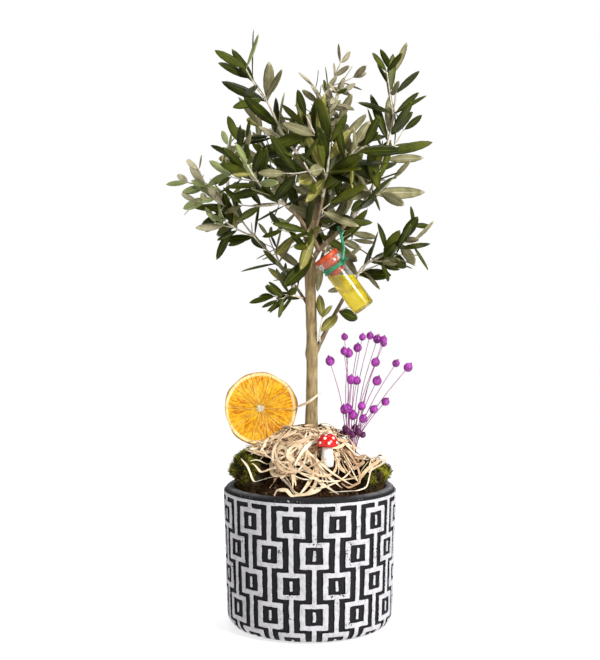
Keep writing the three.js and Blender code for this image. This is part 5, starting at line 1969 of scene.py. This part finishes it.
# Place, size and lean of the dark pods over the foot
BUNCH = (
    ((-7.5, -4, 19.5), 2.5, -30),
    ((-4, -6, 21.5), 2.7, -10),
    ((0, -5, 19), 2.6, 5),
    ((4, -6.5, 21), 2.7, 20),
    ((7.5, -4, 18.5), 2.4, 35),
    ((-5.5, 2, 22.5), 2.5, -15),
    ((2, 3, 23), 2.6, 10),
)
POD = {"waist": 0.95, "rib": 0.09, "ribs": 5, "crown": 0.9, "tip_from": 0.99, "tip": 1.38, "neck": 1.02,
       "narrow": 0.75}


def flax_stem(tier, share, draw):
    lean_range, lengths, layer = tier[1:]
    lean = math.radians(between(*lean_range, share) + either_way(3, draw))
    away = (layer + either_way(2, draw)) * 0.05
    length = between(*lengths, draw())
    foot = Vector(FLAX["foot"])
    side = FLAX["top"] * 0.8 * between(-1, 1, share)
    start = foot + Vector((side, layer, FLAX["height"] - 1.2))
    tip = start + Vector((math.sin(lean), away, math.cos(lean))).normalized() * length
    middle = (start + tip) / 2
    middle.x -= length * 0.06 * math.copysign(1, lean)
    middle.z += length * 0.03
    root = foot + Vector((side * 0.3, layer * 0.3, 0))
    return smooth_path([root, start, (start + 2 * middle + tip) / 4, tip])


def pod_shape():
    bm = bmesh.new()
    bmesh.ops.create_uvsphere(bm, u_segments=15, v_segments=9, radius=1)
    for vert in bm.verts:
        x, y, z = vert.co
        broad = POD["waist"] * (1 + POD["rib"] * math.cos(POD["ribs"] * math.atan2(y, x)))
        if z > POD["crown"]:
            broad *= POD["narrow"]
            z = POD["tip"] if z > POD["tip_from"] else POD["neck"]
        vert.co = (x * broad, y * broad, z)
    return bm


def add_pod(place, turn, size):
    pod = pod_shape()
    matrix = Matrix.Translation(place * MM) @ turn @ Matrix.Scale(size * MM, 4)
    bmesh.ops.transform(pod, matrix=matrix, verts=pod.verts)
    add_shape(pods_bm, pod)


flax_draw = number_stream(FLAX_SEED)
stem_bm = bmesh.new()
pods_bm = bmesh.new()
for tier in TIERS:
    for index in range(tier[0]):
        path = flax_stem(tier, (index + 0.5) / tier[0], flax_draw)
        size = FLAX["pod"] * between(0.85, 1.15, flax_draw())
        add_shape(stem_bm, grow_limb(path, lambda share: FLAX["stem"] * between(1.15, 0.8, share), 6, 14))
        add_pod(path.point(1), UP.rotation_difference(path.along(1)).to_matrix().to_4x4(), size)
pod_faces = len(pods_bm.faces)
for place, size, lean in BUNCH:
    add_pod(Vector(FLAX["foot"]) + Vector(place), Matrix.Rotation(math.radians(lean), 4, "Y"), size)
tint_from(pods_bm, pod_faces, 1)
pod_dye = grained("flax_dye", (0.12, 0.004, 0.12), (0.37, 0.035, 0.36), 300.0, 0.5, 0.0004)
dark_dye = grained("flax_dark", (0.04, 0.003, 0.03), (0.14, 0.012, 0.11), 300.0, 0.55, 0.0004)
stem_dye = grained("flax_stem", (0.22, 0.05, 0.17), (0.42, 0.16, 0.32), 200.0, 0.6)
new_piece("flax_heads", pods_bm, [pod_dye, dark_dye], ["flax_pods"])
new_piece("flax_stems", stem_bm, [stem_dye])

# %% [markdown]
# The vial is a small glass tube of oil that hangs at a slant under the right bough, with a red stopper.
# Glass and stopper are spun upright and then tilted. The oil is spun to the inside of the glass and cut level
# with bisect_plane, because a liquid stays flat however its bottle hangs.

# %% Vial of oil
VIAL = {"length": 48.5, "radius": 8.4, "neck": 7.9, "lip": 9.3, "wall": 1.1, "base": 1.6, "disc": 3.7,
        "lip_depth": 4.6, "neck_depth": 5.0, "plug": 12.5, "level": 262}
VIAL_PLACE = Matrix.Translation(VIAL_TOP * MM) @ Matrix.Rotation(math.radians(-VIAL_SLANT), 4, "Y")
MOUTH = -VIAL["disc"] - GAP
NECK_TOP = MOUTH - VIAL["lip_depth"]
SHOULDER = NECK_TOP - VIAL["neck_depth"]
BORE = VIAL["neck"] - VIAL["wall"]


def hung(profile):
    bm = spun(profile, 56)
    bmesh.ops.transform(bm, matrix=VIAL_PLACE, verts=bm.verts)
    return bm


def glass_body():
    """The outside from the bottom up, then the inside from the mouth down."""
    r, neck, lip, wall = (VIAL[key] for key in ("radius", "neck", "lip", "wall"))
    foot = -VIAL["length"]
    profile = [(0, foot + 0.3), (r - 2.2, foot), (r - 0.9, foot + 0.25), (r - 0.2, foot + 0.9)]
    profile += [(r, foot + 1.8), (r, SHOULDER - 1.8), (r - 0.12, SHOULDER - 0.9), (neck, SHOULDER)]
    profile += [(neck, NECK_TOP - 0.3)]
    profile += [(neck + 0.3, NECK_TOP + 0.1), (lip - 0.2, NECK_TOP + 0.5), (lip, NECK_TOP + 1.2)]
    profile += [(lip, MOUTH - 0.9), (lip - 0.3, MOUTH - 0.25), (lip - 0.9, MOUTH), (BORE, MOUTH)]
    profile += [(BORE, SHOULDER), (r - wall, SHOULDER - 1.5), (r - wall, foot + 2.6)]
    return hung(profile + [(r - wall - 0.8, foot + 1.8), (0, foot + VIAL["base"])])


def oil_body():
    r, foot = VIAL["radius"] - VIAL["wall"] + 0.12, -VIAL["length"]
    under = MOUTH - VIAL["plug"] - GAP
    profile = [(0, foot + 1.45), (r - 0.8, foot + 1.65), (r, foot + 2.5), (r, SHOULDER - 1.5)]
    bm = hung(profile + [(BORE + 0.1, SHOULDER), (BORE + 0.1, under), (0, under)])
    geom = bm.verts[:] + bm.edges[:] + bm.faces[:]
    level = UP * (VIAL["level"] * MM)
    cut = bmesh.ops.bisect_plane(bm, geom=geom, dist=1e-7, plane_co=level, plane_no=UP, clear_outer=True)
    bmesh.ops.edgeloop_fill(bm, edges=[g for g in cut["geom_cut"] if isinstance(g, bmesh.types.BMEdge)])
    return faced_out(bm)


def stopper_body():
    plug, rim, disc = BORE - 0.25, VIAL["lip"] + 0.2, -VIAL["disc"]
    foot = MOUTH - VIAL["plug"]
    profile = [(0, foot), (plug - 0.7, foot), (plug, foot + 0.7), (plug, foot + 3.6)]
    profile += [(plug - 0.5, foot + 4.0), (plug - 0.5, foot + 4.6), (plug, foot + 5.0), (plug, disc)]
    profile += [(rim - 0.6, disc), (rim, disc + 0.6), (rim, -0.9), (rim - 0.35, -0.25), (rim - 1.1, 0)]
    return hung(profile + [(rim - 3, -0.25), (0, -0.35)])


def clear_finish(name, colour, roughness, ior, clear, sheen):
    made, shader = new_material(name)
    set_inputs(shader, Base_Color=colour, Roughness=roughness, IOR=ior, Transmission_Weight=clear,
               Specular_IOR_Level=sheen)
    return made


clear_glass = clear_finish("clear_glass", (0.97, 0.99, 0.97), 0.2, 1.45, 1.0, 0.18)
golden_oil = clear_finish("golden_oil", (1.0, 0.74, 0.0), 0.16, 1.4, 0.85, 0.2)
stopper_red = grained("stopper_red", (0.36, 0.036, 0.006), (0.56, 0.08, 0.016), 240.0, 0.4, 0.0002,
                      Coat_Weight=0.1, Specular_IOR_Level=0.3)
new_piece("vial_tube", glass_body(), [clear_glass], ["vial_glass"], crease=45)
new_piece("vial_filling", oil_body(), [golden_oil], ["vial_oil"], crease=45)
new_piece("vial_cork", stopper_body(), [stopper_red], ["vial_stopper"], crease=50)

# %% [markdown]
# A flat green tie goes twice round the neck of the vial, is knotted at its right side and runs up to a loop
# round the bough. Each run is a narrow grid carried along a path, like the raffia, and solidify gives it its
# thickness. A bevelled curve would twist where the tie turns.

# %% Tie
TIE = {"width": 2.4, "thickness": 0.45, "side": math.radians(-32), "share": 0.74, "loop": 2.6}
TIE_BELLY = Vector((2.6, -1.6, 0))
# Shift along the neck and room round it of each turn
TIE_TURNS = ((0.75, 0.32), (-0.95, 0.55))
RISE_STEPS = 18
TAIL = Vector((0.9, -0.4, -0.4))
TAIL_LEANS = (35, -60)
NECK_MIDDLE = (NECK_TOP + SHOULDER) / 2
NECK_PLACE = Matrix.Translation(VIAL_TOP) @ VIAL_PLACE.to_3x3().to_4x4()
NECK_AXIS = (VIAL_PLACE.to_3x3() @ UP).normalized()


def strip_along(points, flats, width):
    """Lays a flat strip along points, with the direction of its width at each of them."""
    steps = len(points) - 1
    made = bmesh.ops.create_grid(tie_bm, x_segments=2, y_segments=steps, size=0.5)["verts"]
    for vert in made:
        index = round((vert.co.y + 0.5) * steps)
        vert.co = (points[index] + flats[index] * (vert.co.x * width)) * MM


def neck_point(radius, angle, height):
    return NECK_PLACE @ Vector((radius * math.cos(angle), radius * math.sin(angle), height))


def neck_turn(shift, room):
    points = []
    for index in range(49):
        angle = TIE["side"] + math.radians(index * 7.5)
        radius = VIAL["neck"] + room + 0.12 * math.sin(index * 0.9)
        points.append(neck_point(radius, angle, NECK_MIDDLE + shift + 0.35 * math.sin(angle * 2 + shift)))
    strip_along(points, [NECK_AXIS] * len(points), TIE["width"] * 0.7)


def rise_and_loop(knot):
    """The strip from the knot up to the bough, and the loop round the bough."""
    bough = bough_paths["bough_right"]
    hold, along = bough.point(TIE["share"]), bough.along(TIE["share"])
    front = (Vector((0, -1, 0)) + along * along.y).normalized()
    high = hold + front * TIE["loop"]
    rise = bent_path(knot, knot.lerp(high, 0.4) + TIE_BELLY, high)
    shares = [i / RISE_STEPS for i in range(RISE_STEPS + 1)]
    flats = [turned_about(Vector((1, 0, 0)), rise.along(share), 22 * math.sin(share * RISE_STEPS * 0.55))
             for share in shares]
    strip_along([rise.point(share) for share in shares], flats, TIE["width"])
    loop = [hold + turned_about(front, along, 15 * i) * (TIE["loop"] - 0.2 + 0.02 * i) for i in range(25)]
    strip_along(loop, [along] * len(loop), TIE["width"] * 0.8)


def knot_tail(knot, lean):
    tail = turned_about(TAIL, Vector((0, 1, 0)), lean)
    points = [knot + tail * (0.9 * i) + Vector((0, -0.25 * i, 0)) for i in range(6)]
    strip_along(points, [NECK_AXIS] * len(points), TIE["width"] * 0.6)


tie_bm = bmesh.new()
for shift, room in TIE_TURNS:
    neck_turn(shift, room)
tie_knot = neck_point(VIAL["neck"] + 0.9, TIE["side"], NECK_MIDDLE)
rise_and_loop(tie_knot)
for lean in TAIL_LEANS:
    knot_tail(tie_knot, lean)
bmesh.ops.solidify(tie_bm, geom=tie_bm.faces[:], thickness=TIE["thickness"] * MM)
faced_out(tie_bm)
tie_green = grained("tie_green", (0.008, 0.13, 0.05), (0.03, 0.26, 0.12), 380.0, 0.45, 0.0002, (1, 1, 3))
new_piece("vial_ribbon", tie_bm, [tie_green], ["vial_tie"])

# %% [markdown]
# Last come the sizes. The solids' box was taken at the start, before any piece was made, and the plant's own
# box is taken now.

# %% Close
size = {"cad": [list(corner) for corner in cad_box], "visual": [list(corner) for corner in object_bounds()]}
